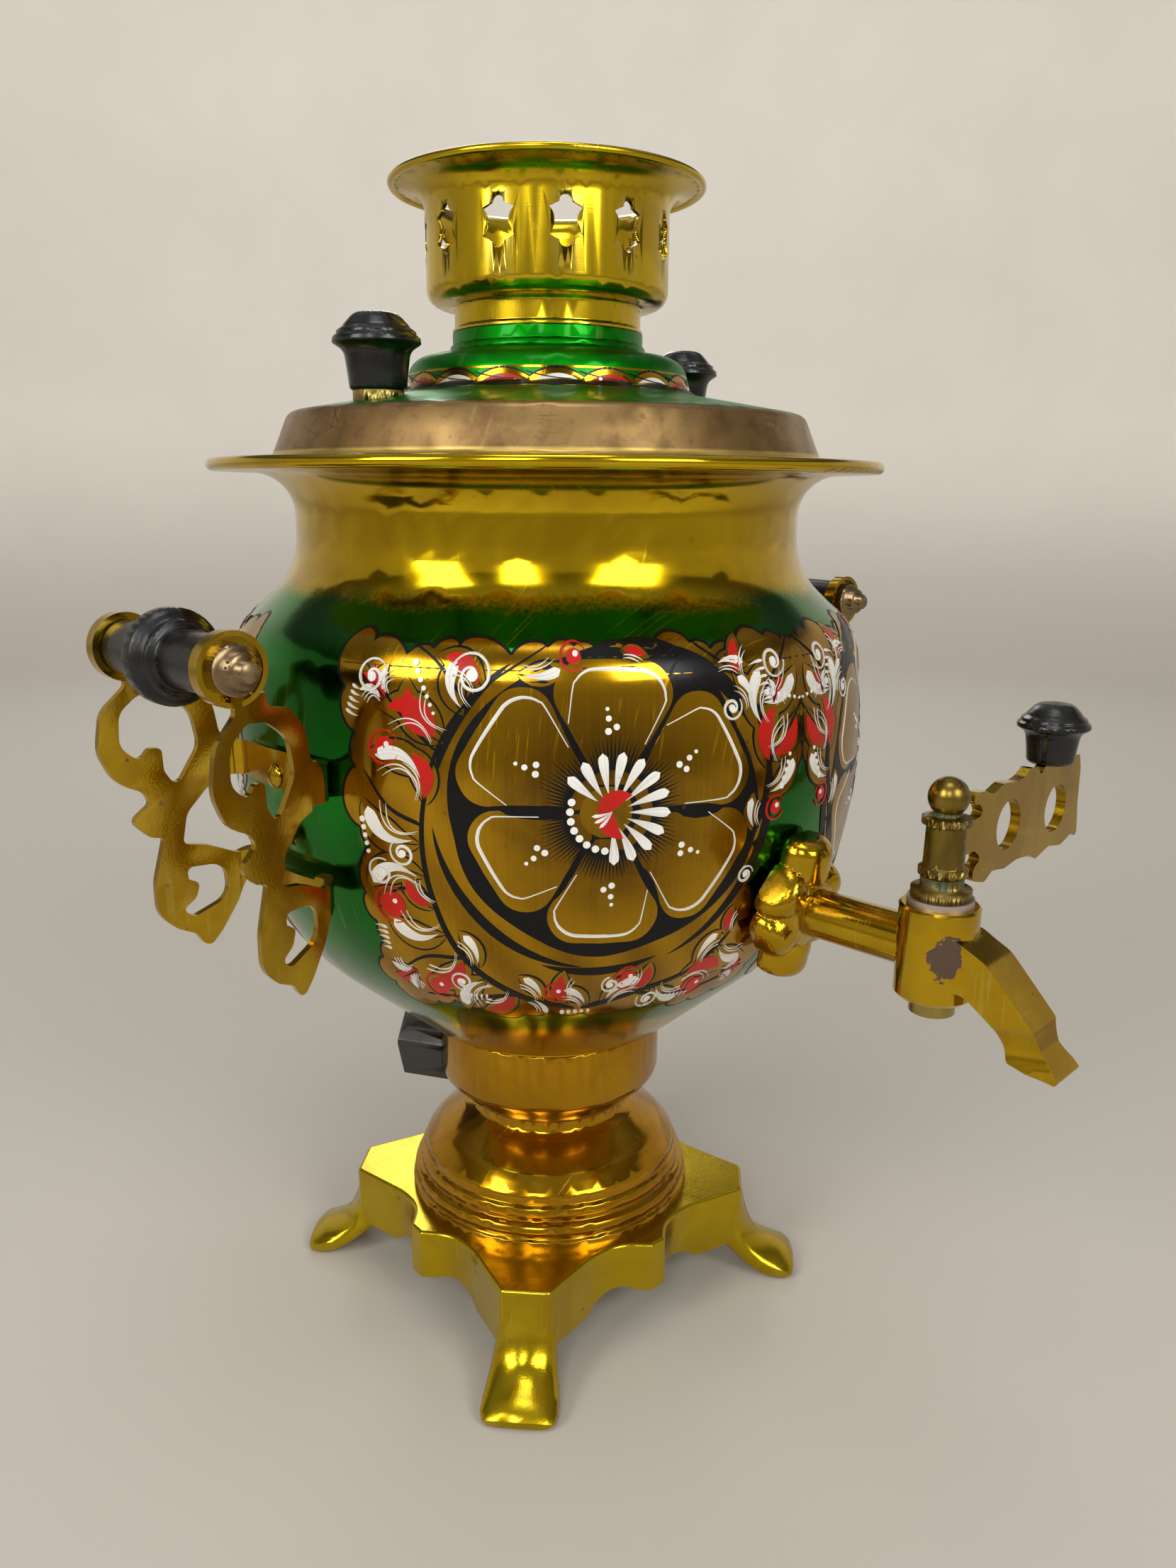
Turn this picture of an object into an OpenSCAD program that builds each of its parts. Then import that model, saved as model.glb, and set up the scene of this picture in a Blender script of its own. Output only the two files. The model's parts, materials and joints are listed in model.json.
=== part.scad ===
// Electric samovar: a spun brass vessel on a pedestal and a four-legged cast base, with a plug tap,
// two scroll handles, a lift-off lid and a crown that carries the teapot.
// The origin is the vessel's axis at table level. +Z is up and the tap points along -Y.

/* [Base] */
// Height of the base casting's deck above the table
base_h = 33; // [28:1:42]
// Radius of the flat corner of the deck above each leg
corner_r = 68; // [62:1:76]
// Radius of the pointed lobe midway between two legs
cusp_r = 56; // [52:1:62]
// Smallest radius of the hollow curve between a leg and a lobe
hollow_r = 50; // [48.5:0.5:55]
// Radius at which a foot's toe ends
toe_r = 87; // [82:1:96]
// Width of a foot across its pad
foot_w = 23.5; // [16:0.5:26]
// Height of the skirt below the deck at a lobe
skirt_h = 16.5; // [15:0.5:20]
// Wall thickness of the casting
cast_wall = 3.8; // [3:0.1:4.5]
// Turn of the base about the axis
base_turn = -5; // [-12:0.5:12]

/* [Pedestal] */
// Height of the pedestal from the deck to the vessel
pedestal_h = 62; // [54:1:74]
// Radius of the pedestal's upper drum
drum_r = 37.2; // [35.5:0.1:39]
// Height of the upper drum
drum_h = 19.5; // [18:0.5:24]
// Radius of the waist
waist_r = 26.1; // [24:0.1:29]
// Radius of the pedestal's foot flange
flange_r = 47.7; // [46:0.1:48.3]

/* [Vessel] */
// Height of the vessel from its foot to the middle of the brim bead
vessel_h = 178; // [168:1:192]
// Radius of the vessel's lip on the pedestal
foot_r = 37.8; // [37.2:0.1:38.6]
// Radius at which the belly's long curves meet, just outside the finished belly
belly_r = 98.9; // [94:0.1:106]
// Height of the belly's construction corner above the foot
belly_h = 92.5; // [86:0.5:98]
// Height of the shoulder corner above the foot
shoulder_h = 132; // [126:0.5:136]
// Radius of the neck
neck_r = 75.9; // [73:0.1:79]
// Radius of the brim to the middle of its bead
brim_r = 98.3; // [96.5:0.1:103]
// Diameter of the rolled bead on the brim
bead_d = 3.4; // [2.4:0.1:4.2]
// Thickness of the spun sheet
wall = 1.2; // [0.9:0.1:1.6]

/* [Lid] */
// Radius of the foot of the lid's sloping band
band_r = 81.2; // [79:0.1:84]
// Height of the sloping band
band_h = 12; // [9:0.5:16]
// Width of the painted flange that lies on the brim
flange_w = 14.5; // [11:0.5:15]
// Radius of the raised centre
bulge_r = 42.4; // [38:0.1:46]
// Height of the raised centre
bulge_h = 12.3; // [10:0.1:16]
// Radius of the neck that carries the crown
lid_neck_r = 28.2; // [27.5:0.1:30]
// Height of the neck below the crown
lid_neck_h = 5.7; // [4:0.1:8]
// Radius at which the two lid knobs stand
knob_at = 62; // [57:0.5:66]

/* [Crown] */
// Radius of the crown's collar
collar_r = 27.5; // [26:0.1:29]
// Height of the collar
collar_h = 7; // [5:0.5:10]
// Radius of the crown's wall
cup_r = 35.5; // [34:0.1:39]
// Radius of the crown's rim to the middle of its bead
rim_r = 44.8; // [43:0.1:50]
// Height of the crown above its collar
cup_h = 32.6; // [30:0.2:38]
// Number of star openings
star_count = 12; // [8:1:12]
// Height of a star opening
star_h = 13; // [10:0.5:14]
// Width of a star opening
star_w = 9; // [7:0.5:10]

/* [Knob] */
// Diameter of a lid knob's cap
cap_d = 23.3; // [20:0.1:26]
// Height of a lid knob
knob_h = 20; // [17:0.5:24]
// Diameter of the lever knob's cap
lever_cap_d = 19.2; // [18:0.1:23]
// Height of the lever knob
lever_knob_h = 16.8; // [15:0.1:21]

/* [Handle] */
// Distance of the grip's axis from the vessel's axis
grip_at = 125.2; // [123:0.1:130]
// Height of the grip's axis above the vessel's foot
grip_h = 132; // [128:0.5:138]
// Diameter of the grip
grip_d = 14; // [12:0.2:15]
// Diameter of the collar round the middle of the grip
grip_collar_d = 24; // [20:0.5:26]
// Distance between the inner faces of the two eyes
grip_len = 50; // [48:0.2:52]
// Thickness of the bracket's sheet
sheet = 2; // [1.5:0.1:2.4]
// Diameter of the rod through the grip
rod_d = 6; // [5:0.2:7]

/* [Tap] */
// Height of the tap's pipe above the vessel's foot
tap_h = 61.5; // [56:0.5:68]
// Distance of the tap's barrel from the vessel's axis
tap_at = 140; // [135:0.5:150]
// Diameter of the pipe
pipe_d = 13.2; // [12.4:0.1:15]
// Diameter of the barrel
barrel_d = 19.8; // [19:0.1:24]
// Height of the barrel above the pipe's axis
barrel_up = 12; // [11:0.5:15]
// Depth of the barrel below the pipe's axis
barrel_down = 12.2; // [11.6:0.2:17]
// Diameter of the plug at the top of the barrel
plug_d = 12.6; // [12:0.1:13.4]
// Diameter of the water way
way_d = 5.4; // [4.6:0.1:5.6]
// Diameter of the stem above the plug
stem_d = 10; // [9.4:0.1:12]
// Length of the lever from the plug's axis
lever_len = 76; // [70:1:80]
// Height of the lever's plate
lever_w = 24; // [22:0.5:26]
// Thickness of the lever's plate
lever_t = 2.8; // [2:0.1:3.4]
// Diameter of the two round openings of the lever
lever_hole_d = 13.5; // [11:0.1:14]
// Width of the spout's mouth
mouth_w = 12.4; // [11.5:0.1:15]

/* [Inlet] */
// Distance between the two inlet pins
pin_gap = 19; // [18:0.1:20]
// Diameter of an inlet pin
pin_d = 6; // [5:0.1:6.4]
// Width of the inlet shroud
shroud_w = 40; // [39:0.5:46]
// Height of the inlet shroud
shroud_h = 24; // [23:0.5:25]
// Distance of the shroud's mouth from the vessel's axis
shroud_at = 48; // [46:0.5:54]
// Turn of the inlet from the side opposite the tap
inlet_turn = 28; // [0:1:40]

/* [Heater] */
// Radius of the heater's ring
ring_r = 42; // [34:0.5:46]
// Height of the ring above the vessel's floor
ring_h = 24; // [20:0.5:30]
// Diameter of the heater's tube
tube_d = 8; // [6:0.1:8.6]

/* [Hidden] */

$fn = 64;
arc_error = 0.03;  // largest distance between a rounded corner's curve and its chords
seat = 0.05;       // radial clearance between two pieces that are fastened together
run = 0.05;        // radial clearance of the turning plug
touch = 0.02;      // clearance between two flat faces that bear on each other
over = 1;          // how far a cut runs past the solid that it cuts
far = 300;         // longer than anything that it cuts

brass = "goldenrod";
bronze = "darkgoldenrod";
green = "forestgreen";
bakelite = [0.12, 0.12, 0.13];
steel = "silver";
rubber = [0.2, 0.2, 0.2];

deck_z = base_h;
foot_z = deck_z + pedestal_h;
brim_z = foot_z + vessel_h;
tap_z = foot_z + tap_h;
grip_z = foot_z + grip_h;

// ---- outlines -------------------------------------------------------------------------------------

function unit(v) = v / norm(v);
function turn_left(v) = [-v[1], v[0]];
function xy(p) = [p[0], p[1]];
function wrap(a) = a > 180 ? a - 360 : a < -180 ? a + 360 : a;

// Points of the arc of radius r that rounds the corner b between the neighbours a and c
function corner(a, b, c, r) =
    let (u = unit(a - b), v = unit(c - b), half = acos(max(-1, min(1, u * v))) / 2)
    r <= 0 || half > 89.4 ? [b] :
    let (t = min(r / tan(half), 0.499 * min(norm(a - b), norm(c - b))),
        rr = t * tan(half),
        mid = b + unit(u + v) * rr / sin(half),
        p = b + u * t - mid,
        q = b + v * t - mid,
        from = atan2(p[1], p[0]),
        sweep = wrap(atan2(q[1], q[0]) - from),
        n = max(2, ceil(abs(sweep) / (2 * acos(1 - min(0.5, arc_error / rr))))))
    [for (i = [0:n]) mid + rr * [cos(from + sweep * i / n), sin(from + sweep * i / n)]];

// A closed outline through corners [x, y, radius]
function closed(path) =
    let (n = len(path))
    [for (i = [0:n - 1])
        each corner(xy(path[(i + n - 1) % n]), xy(path[i]), xy(path[(i + 1) % n]), path[i][2])];

// A closed outline moved inwards by d, point by point
function inset(points, d) =
    let (n = len(points))
    [for (i = [0:n - 1])
        points[i] + d * unit(turn_left(unit(points[(i + 1) % n] - points[(i + n - 1) % n])))];

// An open line through corners [x, y, radius], with plain ends
function open(path) =
    let (n = len(path))
    [xy(path[0]),
        for (i = [1:n - 2]) each corner(xy(path[i - 1]), xy(path[i]), xy(path[i + 1]), path[i][2]),
        xy(path[n - 1])];

// The same open path moved by d to the left of its direction
function beside(path, d) =
    let (n = len(path))
    [for (i = [0:n - 1])
        let (a = i > 0 ? unit(xy(path[i] - path[i - 1])) : unit(xy(path[1] - path[0])),
            b = i < n - 1 ? unit(xy(path[i + 1] - path[i])) : a,
            na = turn_left(a), nb = turn_left(b),
            p = xy(path[i]) + d * (na + nb) / (1 + na * nb),
            left = a[0] * b[1] - a[1] * b[0] > 0)
        [p[0], p[1], path[i][2] <= 0 ? 0 : max(0.01, path[i][2] + (left ? -d : d))]];

function reversed(list) = [for (i = [len(list) - 1:-1:0]) list[i]];

// Sheet of the given thickness on the left side of an open path
function sheet_of(path, thick) = concat(open(path), reversed(open(beside(path, thick))));

function lifted(path, z) = [for (p = path) [p[0], p[1] + z, p[2]]];

// Radius of an outline of [radius, height] points at height z
function radius_at(points, z) = lookup(z, [for (p = points) [p[1], p[0]]]);

// ---- shared shapes --------------------------------------------------------------------------------

// Sheet spun about the Z axis along an outer path, with its thickness inwards
module spun(path, thick) rotate_extrude() polygon(sheet_of(path, thick));

// Solid of revolution inside an outer path, grown by gap
module filled(path, gap = 0) {
    edge = open(beside(path, -gap));
    rotate_extrude() polygon(concat([[0, edge[0][1]]], edge, [[0, edge[len(edge) - 1][1]]]));
}

// Solid of revolution from a list of [radius, height] steps
module turned(steps) rotate_extrude()
    polygon(concat([[0, steps[0][1]]], steps, [[0, steps[len(steps) - 1][1]]]));

module hex_nut(across, high, bore_d) difference() {
    cylinder(d = across / cos(30), h = high, $fn = 6);
    translate([0, 0, -over]) cylinder(d = bore_d, h = high + 2 * over);
}

module washer(outer_d, high, bore_d) difference() {
    cylinder(d = outer_d, h = high);
    translate([0, 0, -over]) cylinder(d = bore_d, h = high + 2 * over);
}

// Puts children that stand on +Z so that they stand on -Y at the tap's height, centred on the axis
module on_tap_axis() translate([0, 0, tap_z]) rotate([90, 0, 0]) children();

// ---- vessel ---------------------------------------------------------------------------------------

bowl_in = 9.9;         // the bowl's corner lies this far inside the belly's corner
bowl_up = 43;          // height of the bowl's corner above the foot
shoulder_in = 4.4;     // the shoulder's corner lies this far inside the belly's corner
neck_low_h = shoulder_h + 16.6;   // height at which shoulder and neck meet
flare_round = 14.5;    // radius of the hollow flare under the brim
brim_rise = 0.8;       // rise of the brim from the flare to the bead
vessel_path = lifted([
    [foot_r, 0, 0],
    [foot_r, 1.9, 0.3],
    [foot_r + 5, 2.7, 5],
    [belly_r - bowl_in, bowl_up, 62],
    [belly_r, belly_h, 125],
    [belly_r - shoulder_in, shoulder_h, 17.8],
    [neck_r, neck_low_h, 22],
    [neck_r, vessel_h - bead_d / 2 - brim_rise, flare_round],
    [brim_r, vessel_h - bead_d / 2, 0]], foot_z);
vessel_outline = open(vessel_path);
function vessel_r(z) = radius_at(vessel_outline, z);

floor_t = 2;
floor_r = foot_r - wall - seat;

module vessel_body() color(green) difference() {
    rotate_extrude() {
        polygon(sheet_of(vessel_path, wall));
        translate([brim_r, brim_z]) circle(d = bead_d, $fn = 24);
    }
    on_tap_axis() cylinder(d = pipe_d + 2 * seat, h = far);
    for (side = [0, 180]) rotate([0, 0, side]) rivet_holes();
}

boss_r = 7;
boss_h = 10;

module vessel_floor() color(brass) difference() {
    union() {
        translate([0, 0, foot_z]) cylinder(r = floor_r, h = floor_t);
        translate([0, 0, foot_z - boss_h]) cylinder(r = boss_r, h = boss_h);
    }
    translate([0, 0, foot_z - boss_h - over]) cylinder(d = tie_d + 2 * seat, h = boss_h - 1 + over);
    heater_legs() translate([0, 0, foot_z - over]) cylinder(d = tube_d + 2 * seat, h = floor_t + 2 * over);
}

// ---- pedestal -------------------------------------------------------------------------------------

ogee_h = 9.5;          // height of the curve from the drum to the waist
waist_h = 5;           // height of the waist
dome_r = flange_r - 4.6;
dome_low = 13.2;       // height of the dome's lower edge above the deck
ring_step = 1.9;       // how much each of the two beads stands out from the one above
pedestal_path = lifted([
    [flange_r, 0, 0],
    [flange_r, 2.6, 0.6],
    [flange_r - 1.2, 3.4, 0.4],
    [flange_r - 0.5, 5.4, 1.4],
    [flange_r - 1.2, 7.6, 0.8],
    [flange_r - ring_step - 1.4, 8.2, 0.4],
    [flange_r - ring_step - 0.8, 10.4, 1.4],
    [flange_r - ring_step - 1.4, 12.4, 0.8],
    [dome_r, dome_low, 0.4],
    [dome_r, dome_low + 3, 3.5],
    [dome_r - 5, dome_low + 8.4, 9],
    [waist_r + 3.4, pedestal_h - drum_h - ogee_h - waist_h - 0.6, 6],
    [waist_r, pedestal_h - drum_h - ogee_h - waist_h + 1.2, 1.6],
    [waist_r, pedestal_h - drum_h - ogee_h, 1],
    [waist_r + 3, pedestal_h - drum_h - ogee_h + 1.2, 0.8],
    [drum_r, pedestal_h - drum_h, 5],
    [drum_r, pedestal_h - 0.8, 0.7],
    [drum_r - 1, pedestal_h - touch, 0]], deck_z);

window_w = pin_gap + 14;
window_h = 15;
inlet_z = foot_z - 13.6;   // height of the inlet's axis

// Turns children from +Y to the side of the inlet
module behind() rotate([0, 0, inlet_turn]) children();

module pedestal() color(brass) difference() {
    spun(pedestal_path, wall);
    behind() translate([-window_w / 2, 0, inlet_z - window_h / 2]) cube([window_w, drum_r + over, window_h]);
}

// ---- base -----------------------------------------------------------------------------------------

deck_t = 4;
cusp_flat = 3;         // half the width of the blunt lobe, in degrees
corner_flat = 6.3;     // half the width of a deck corner, in degrees
edge_r = 1.2;          // rounding of the deck's edge
cusp_round = 1.6;      // rounding of the lobes' upright edges, more than the deck's own
hub_r = 9;
hub_h = 7;
tie_d = 6;

function polar(r, a) = [r * cos(a), r * sin(a)];

// Outline of the deck, drawn in by d: flat corners at 45 degrees, blunt lobes between them, hollow curves
function deck_path(d) = [for (k = [0:3]) let (a = 45 + 90 * k) each [
    concat(polar(cusp_r - d, a - 45 + cusp_flat), [cusp_round]),
    concat(polar(hollow_r - d, a - 33), [16]),
    concat(polar(hollow_r + 2.5 - d, a - 22), [22]),
    concat(polar(corner_r - d, a - corner_flat), [2.5]),
    concat(polar(corner_r - d, a + corner_flat), [2.5]),
    concat(polar(hollow_r + 2.5 - d, a + 22), [22]),
    concat(polar(hollow_r - d, a + 33), [16]),
    concat(polar(cusp_r - d, a + 45 - cusp_flat), [cusp_round])]];
deck_outline = closed(deck_path(0));
web_z = 13;            // height to which the skirt reaches down beside a leg
arch_r = 15.5;         // radius of the arch of the skirt between a lobe and a leg
arch_a = 14;           // the arch's middle lies this far from the lobe, in degrees
arch_top = 18;         // height of the arch's crown

function middle(ring) = [for (p = ring) 1] * ring / len(ring);

// Closed solid through rings of equal length, from the lowest ring to the highest
module loft(rings) {
    n = len(rings[0]);
    m = len(rings);
    walls = [for (j = [0:m - 2]) for (i = [0:n - 1])
        let (a = j * n + i, b = j * n + (i + 1) % n)
        each [[a, b, b + n], [a, b + n, a + n]]];
    bottom = [for (i = [0:n - 1]) [m * n, (i + 1) % n, i]];
    top = [for (i = [0:n - 1]) [m * n + 1, (m - 1) * n + i, (m - 1) * n + (i + 1) % n]];
    ends = [middle(rings[0]), middle(rings[m - 1])];
    faces = concat(walls, bottom, top);
    polyhedron(concat([for (ring = rings) each ring], ends), [for (f = faces) reversed(f)]);
}

function at_height(points, z) = [for (p = points) [p[0], p[1], z]];

// Deck and skirt as one block with a rounded upper edge
module deck_block() loft(concat(
    [at_height(deck_outline, web_z)],
    [for (a = [0:22.5:90])
        at_height(inset(deck_outline, edge_r * (1 - cos(a))), deck_z - touch - edge_r * (1 - sin(a)))]));

// One leg: rows [outer radius, its height, under radius, its height, half width, ridge], deck to toe
leg_rows = [
    [corner_r - 0.6, base_h - 2, 54, base_h - 2.5, 7.4, 0],
    [corner_r + 0.1, base_h - 5, 54.5, base_h - 7, 7.8, 0.05],
    [corner_r + 1, base_h - 9.5, 55.5, base_h - 12.5, 8.6, 0.12],
    [corner_r + 2.4, base_h - 14, 57.5, base_h - 17.5, 9.2, 0.16],
    [corner_r + 4.3, base_h - 18, 61, base_h - 22, 9.6, 0.2],
    [corner_r + 7.2, base_h - 21.4, 65.5, base_h - 25.8, foot_w / 2 - 1.5, 0.22],
    [corner_r + 11.2, base_h - 23.8, 70, base_h - 29.4, foot_w / 2 - 0.7, 0.22],
    [toe_r - 5, base_h - 25.2, 75, base_h - 32, foot_w / 2 - 0.1, 0.2],
    [toe_r - 1.8, base_h - 27, 79.5, base_h - 32.9, foot_w / 2, 0.16],
    [toe_r - 0.1, base_h - 29.2, 82.5, base_h - 32.9, foot_w / 2 - 0.8, 0.12],
    [toe_r - 0.1, base_h - 31.2, 84, base_h - 32.9, foot_w / 2 - 2.6, 0.08],
    [toe_r - 1.4, base_h - 32.6, 84.6, base_h - 32.9, foot_w / 2 - 5, 0]];
leg_sides = 20;

// Points of one row: a rounded section from its under side to its outer side, with a ridge outside
function leg_ring(row) = [for (i = [0:leg_sides - 1])
    let (a = 360 * i / leg_sides, c = cos(a), s = sin(a),
        y = sign(s) * pow(abs(s), 0.75),
        t = 0.5 + 0.5 * sign(c) * pow(abs(c), 0.6),
        u = t - row[5] * abs(y) * t)
    [row[2] + (row[0] - row[2]) * u, row[4] * y, row[3] + (row[1] - row[3]) * u]];

pad_r = 5;
pad_at = toe_r - 7;

module leg() {
    loft(reversed([for (row = leg_rows) leg_ring(row)]));
    translate([pad_at, 0, 0]) cylinder(r = pad_r, h = 3);
}

module skirt_cuts() for (k = [0:3]) rotate([0, 0, 90 * k]) {
    for (flip = [-1, 1]) rotate([0, 0, flip * arch_a]) translate([30, 0, arch_top - arch_r])
        rotate([0, 90, 0]) cylinder(r = arch_r, h = 40);
    rotate([0, 0, -arch_a]) rotate_extrude(angle = 2 * arch_a) translate([30, web_z - over])
        square([40, deck_z - skirt_h - web_z + over]);
}

module base_casting() color(brass) rotate([0, 0, base_turn]) {
    difference() {
        deck_block();
        translate([0, 0, web_z - over]) linear_extrude(deck_z - deck_t - web_z + over)
            polygon(closed(deck_path(cast_wall)));
        skirt_cuts();
        rods_through_deck();
    }
    difference() {
        translate([0, 0, deck_z - hub_h]) cylinder(r = hub_r, h = hub_h - deck_t / 2);
        rods_through_deck();
    }
    for (k = [0:3]) rotate([0, 0, 45 + 90 * k]) leg();
}

module rods_through_deck() {
    translate([0, 0, deck_z - hub_h - over]) cylinder(d = tie_d + 2 * seat, h = hub_h + 2 * over);
    translate([0, 0, deck_z - deck_t - over]) lead_hole();
}

module lead_hole() for (k = [0:3]) rotate([0, 0, 90 * k]) translate([24, 0, 0])
    cylinder(d = 5, h = deck_t + 2 * over);

// ---- tie rod --------------------------------------------------------------------------------------

tie_washer_t = 1.6;
tie_nut_h = 5;

module tie_rod() color(steel)
    translate([0, 0, deck_z - hub_h - tie_washer_t - tie_nut_h - 1])
        cylinder(d = tie_d, h = foot_z - 1 - 0.5 - (deck_z - hub_h - tie_washer_t - tie_nut_h - 1));

module tie_washer() color(steel) translate([0, 0, deck_z - hub_h - tie_washer_t - touch])
    washer(16, tie_washer_t, tie_d + 2 * seat);

module tie_nut() color(steel) translate([0, 0, deck_z - hub_h - tie_washer_t - tie_nut_h - 2 * touch])
    hex_nut(10, tie_nut_h, tie_d + 2 * seat);

// ---- heater ---------------------------------------------------------------------------------------

leg_x = pin_gap / 2;
leg_y = 12;
elbow_r = 8;
turn_r = 10;
gasket_t = 1;
ferrule_t = 2;
heater_nut_h = 4;
stud_d = 5;
ring_z = foot_z + floor_t + ring_h;
turn_x = leg_x + turn_r;
turn_y = -sqrt(pow(ring_r - turn_r, 2) - pow(turn_x, 2));
turn_a = atan2(turn_y, turn_x);

module heater_legs() behind() for (side = [-1, 1]) translate([side * leg_x, leg_y, 0]) children();

module bent_tube(r, angle) rotate_extrude(angle = angle) translate([r, 0]) circle(d = tube_d, $fn = 24);

module half_heater() {
    leg_top = ring_z - elbow_r;
    ferrule_z = foot_z + floor_t + gasket_t;
    stud_top = foot_z - heater_nut_h - 1;
    stud_foot = inlet_z + 2.6;
    translate([leg_x, leg_y, ferrule_z + touch]) cylinder(d = tube_d + 5, h = ferrule_t);
    translate([leg_x, leg_y, stud_top]) cylinder(d = tube_d, h = leg_top - stud_top);
    translate([leg_x, leg_y, stud_foot]) cylinder(d = stud_d, h = stud_top - stud_foot);
    translate([leg_x, leg_y - elbow_r, leg_top]) rotate([90, 0, 90]) bent_tube(elbow_r, 90);
    translate([leg_x, leg_y - elbow_r, ring_z]) rotate([90, 0, 0])
        cylinder(d = tube_d, h = leg_y - elbow_r - turn_y);
    translate([turn_x, turn_y, ring_z]) rotate([0, 0, 180]) bent_tube(turn_r, 180 + turn_a);
    translate([0, 0, ring_z]) rotate([0, 0, turn_a]) bent_tube(ring_r, 90 - turn_a);
}

module heater_element() color(steel) behind() {
    half_heater();
    mirror([1, 0, 0]) half_heater();
}

module heater_gaskets() color(rubber) heater_legs() translate([0, 0, foot_z + floor_t + touch])
    washer(tube_d + 5, gasket_t - touch, tube_d + 2 * seat);

module heater_nuts() color(steel) heater_legs() translate([0, 0, foot_z - heater_nut_h - touch])
    hex_nut(12, heater_nut_h, tube_d + 2 * seat);

// ---- mains inlet ----------------------------------------------------------------------------------

wall_t = 1.4;              // wall of the shroud's spigot
pocket_w = window_w - 2 * (wall_t + seat);
pocket_h = window_h - 2 * (wall_t + seat);
bar_t = 1.5;
bar_w = 37.6;
bar_h = 9;
bar_front = sqrt(pow(drum_r - wall, 2) - pow(bar_w / 2, 2)) - touch;   // the bar's ends bear on the drum
carrier_t = 4;             // thickness of the insulating carrier behind the bar
carrier_front = bar_front + touch + carrier_t;
tail_d = 4;
pin_nut_h = 3;
strap_t = 1.2;
strap_w = 7;
strap_at = bar_front - bar_t - pin_nut_h - 2 * touch;    // face of the lead under the nut
tail_end = strap_at - strap_t - 2;
strap_z = inlet_z + 4;

module shroud_outline() {
    x = shroud_w / 2;
    y = shroud_h / 2;
    polygon(closed([[-x + 5, -y, 2], [x - 5, -y, 2], [x, 2.5, 2.5], [x - 8, y, 3],
        [-x + 8, y, 3], [-x, 2.5, 2.5]]));
}

// Places children that rise along +Z so that they rise outwards along the inlet's axis
module on_inlet(from) behind() translate([0, from, inlet_z]) rotate([-90, 0, 0]) rotate([0, 0, 180])
    children();

module block(w, high, from, to) on_inlet(from) translate([-w / 2, -high / 2, 0]) cube([w, high, to - from]);

module at_pins(from) for (side = [-1, 1]) on_inlet(from) translate([side * pin_gap / 2, 0, 0]) children();

module inlet_shroud() color(bakelite) difference() {
    union() {
        difference() {
            on_inlet(drum_r / 2) linear_extrude(shroud_at - drum_r / 2) shroud_outline();
            filled(pedestal_path, seat);
        }
        block(window_w - 2 * seat, window_h - 2 * seat, bar_front + touch, shroud_at - 2);
    }
    block(pocket_w, pocket_h, 0, far);
}

module pin_carrier() color("ivory") difference() {
    block(pocket_w - 2 * seat, pocket_h - 2 * seat, bar_front + touch, carrier_front);
    at_pins(0) cylinder(d = tail_d + 2 * seat, h = far);
}

module clamp_bar() color(steel) difference() {
    block(bar_w, bar_h, bar_front - bar_t, bar_front);
    at_pins(0) cylinder(d = tail_d + 2 * seat, h = far);
}

module inlet_pins() color(steel) at_pins(0) {
    long = shroud_at - carrier_front - 2.5;
    translate([0, 0, carrier_front + touch]) turned([[4, 0], [4, 1.5], [pin_d / 2, 1.5],
        [pin_d / 2, long - 1.2], [pin_d / 2 - 1, long]]);
    translate([0, 0, tail_end]) cylinder(d = tail_d, h = carrier_front + touch - tail_end);
}

module pin_nuts() color(steel) at_pins(strap_at + touch) hex_nut(7, pin_nut_h, tail_d + 2 * seat);

// Flat copper links from the heater's studs to the pins' tails
module inlet_leads() color("peru") difference() {
    behind() for (side = [-1, 1]) translate([side * pin_gap / 2, 0, 0]) {
        translate([-strap_w / 2, leg_y, strap_z]) cube([strap_w, strap_at - leg_y, strap_t]);
        translate([0, leg_y, strap_z]) cylinder(d = 9, h = strap_t);
        translate([-strap_w / 2, strap_at - strap_t, inlet_z - 4])
            cube([strap_w, strap_t, strap_z - inlet_z + 4.5]);
    }
    heater_legs() translate([0, 0, inlet_z]) cylinder(d = stud_d + 2 * seat, h = 8);
    at_pins(0) cylinder(d = tail_d + 2 * seat, h = far);
}

// ---- tap ------------------------------------------------------------------------------------------

plate_z = tap_z + barrel_up;                // top face of the barrel
washer_t = 1.7;
key_flange_t = 2.3;
key_z = plate_z + washer_t + 2 * touch;     // underside of the key's flange
lever_z = tap_z + 26;                       // middle of the lever's plate
lever_root_h = 9.2;
root_low = lever_z - lever_root_h / 2 + 1;  // the lever's root fills its slot between these heights
root_top = root_low + lever_root_h;
plug_slope = 0.045;                         // radius lost by the plug for each millimetre of depth
rosette_r = 20.5;
rosette_depth = 10;                         // thickness of the rosette, from its flat back to its front
rosette_lift = 1;                           // the rosette's middle lies this far above the pipe's axis
rosette_lean = 11;                          // lean of the rosette's back from upright, in degrees
rosette_side = 14;                          // length of the four side petals
side_a = 36;                                // their rise and fall from the level, in degrees
petal_r = 7.8;                              // half the thickness of a petal at its fullest
shank_nut_t = 4;
wall_at = vessel_r(tap_z);                  // distance of the belly at the pipe's height
rosette_at = wall_at + 1.6;                 // middle of the rosette's back: its upper edge bears on the belly
nut_at = wall_at - 14;                      // inner face of the shank nut
spout_w = 13;
way_turn = 12;                              // the water way turns down this far from the barrel's axis
way_fall = 45;                              // slope of the water way in the spout, in degrees
mouth_x = 26.2;                             // distance of the water's exit from the barrel's axis
way_drop = (mouth_x - way_turn) * tan(way_fall);
bend_d = way_d * 1.1;                       // the way's bends are a little wider than its bores

module at_barrel() translate([0, -tap_at, 0]) children();

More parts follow.
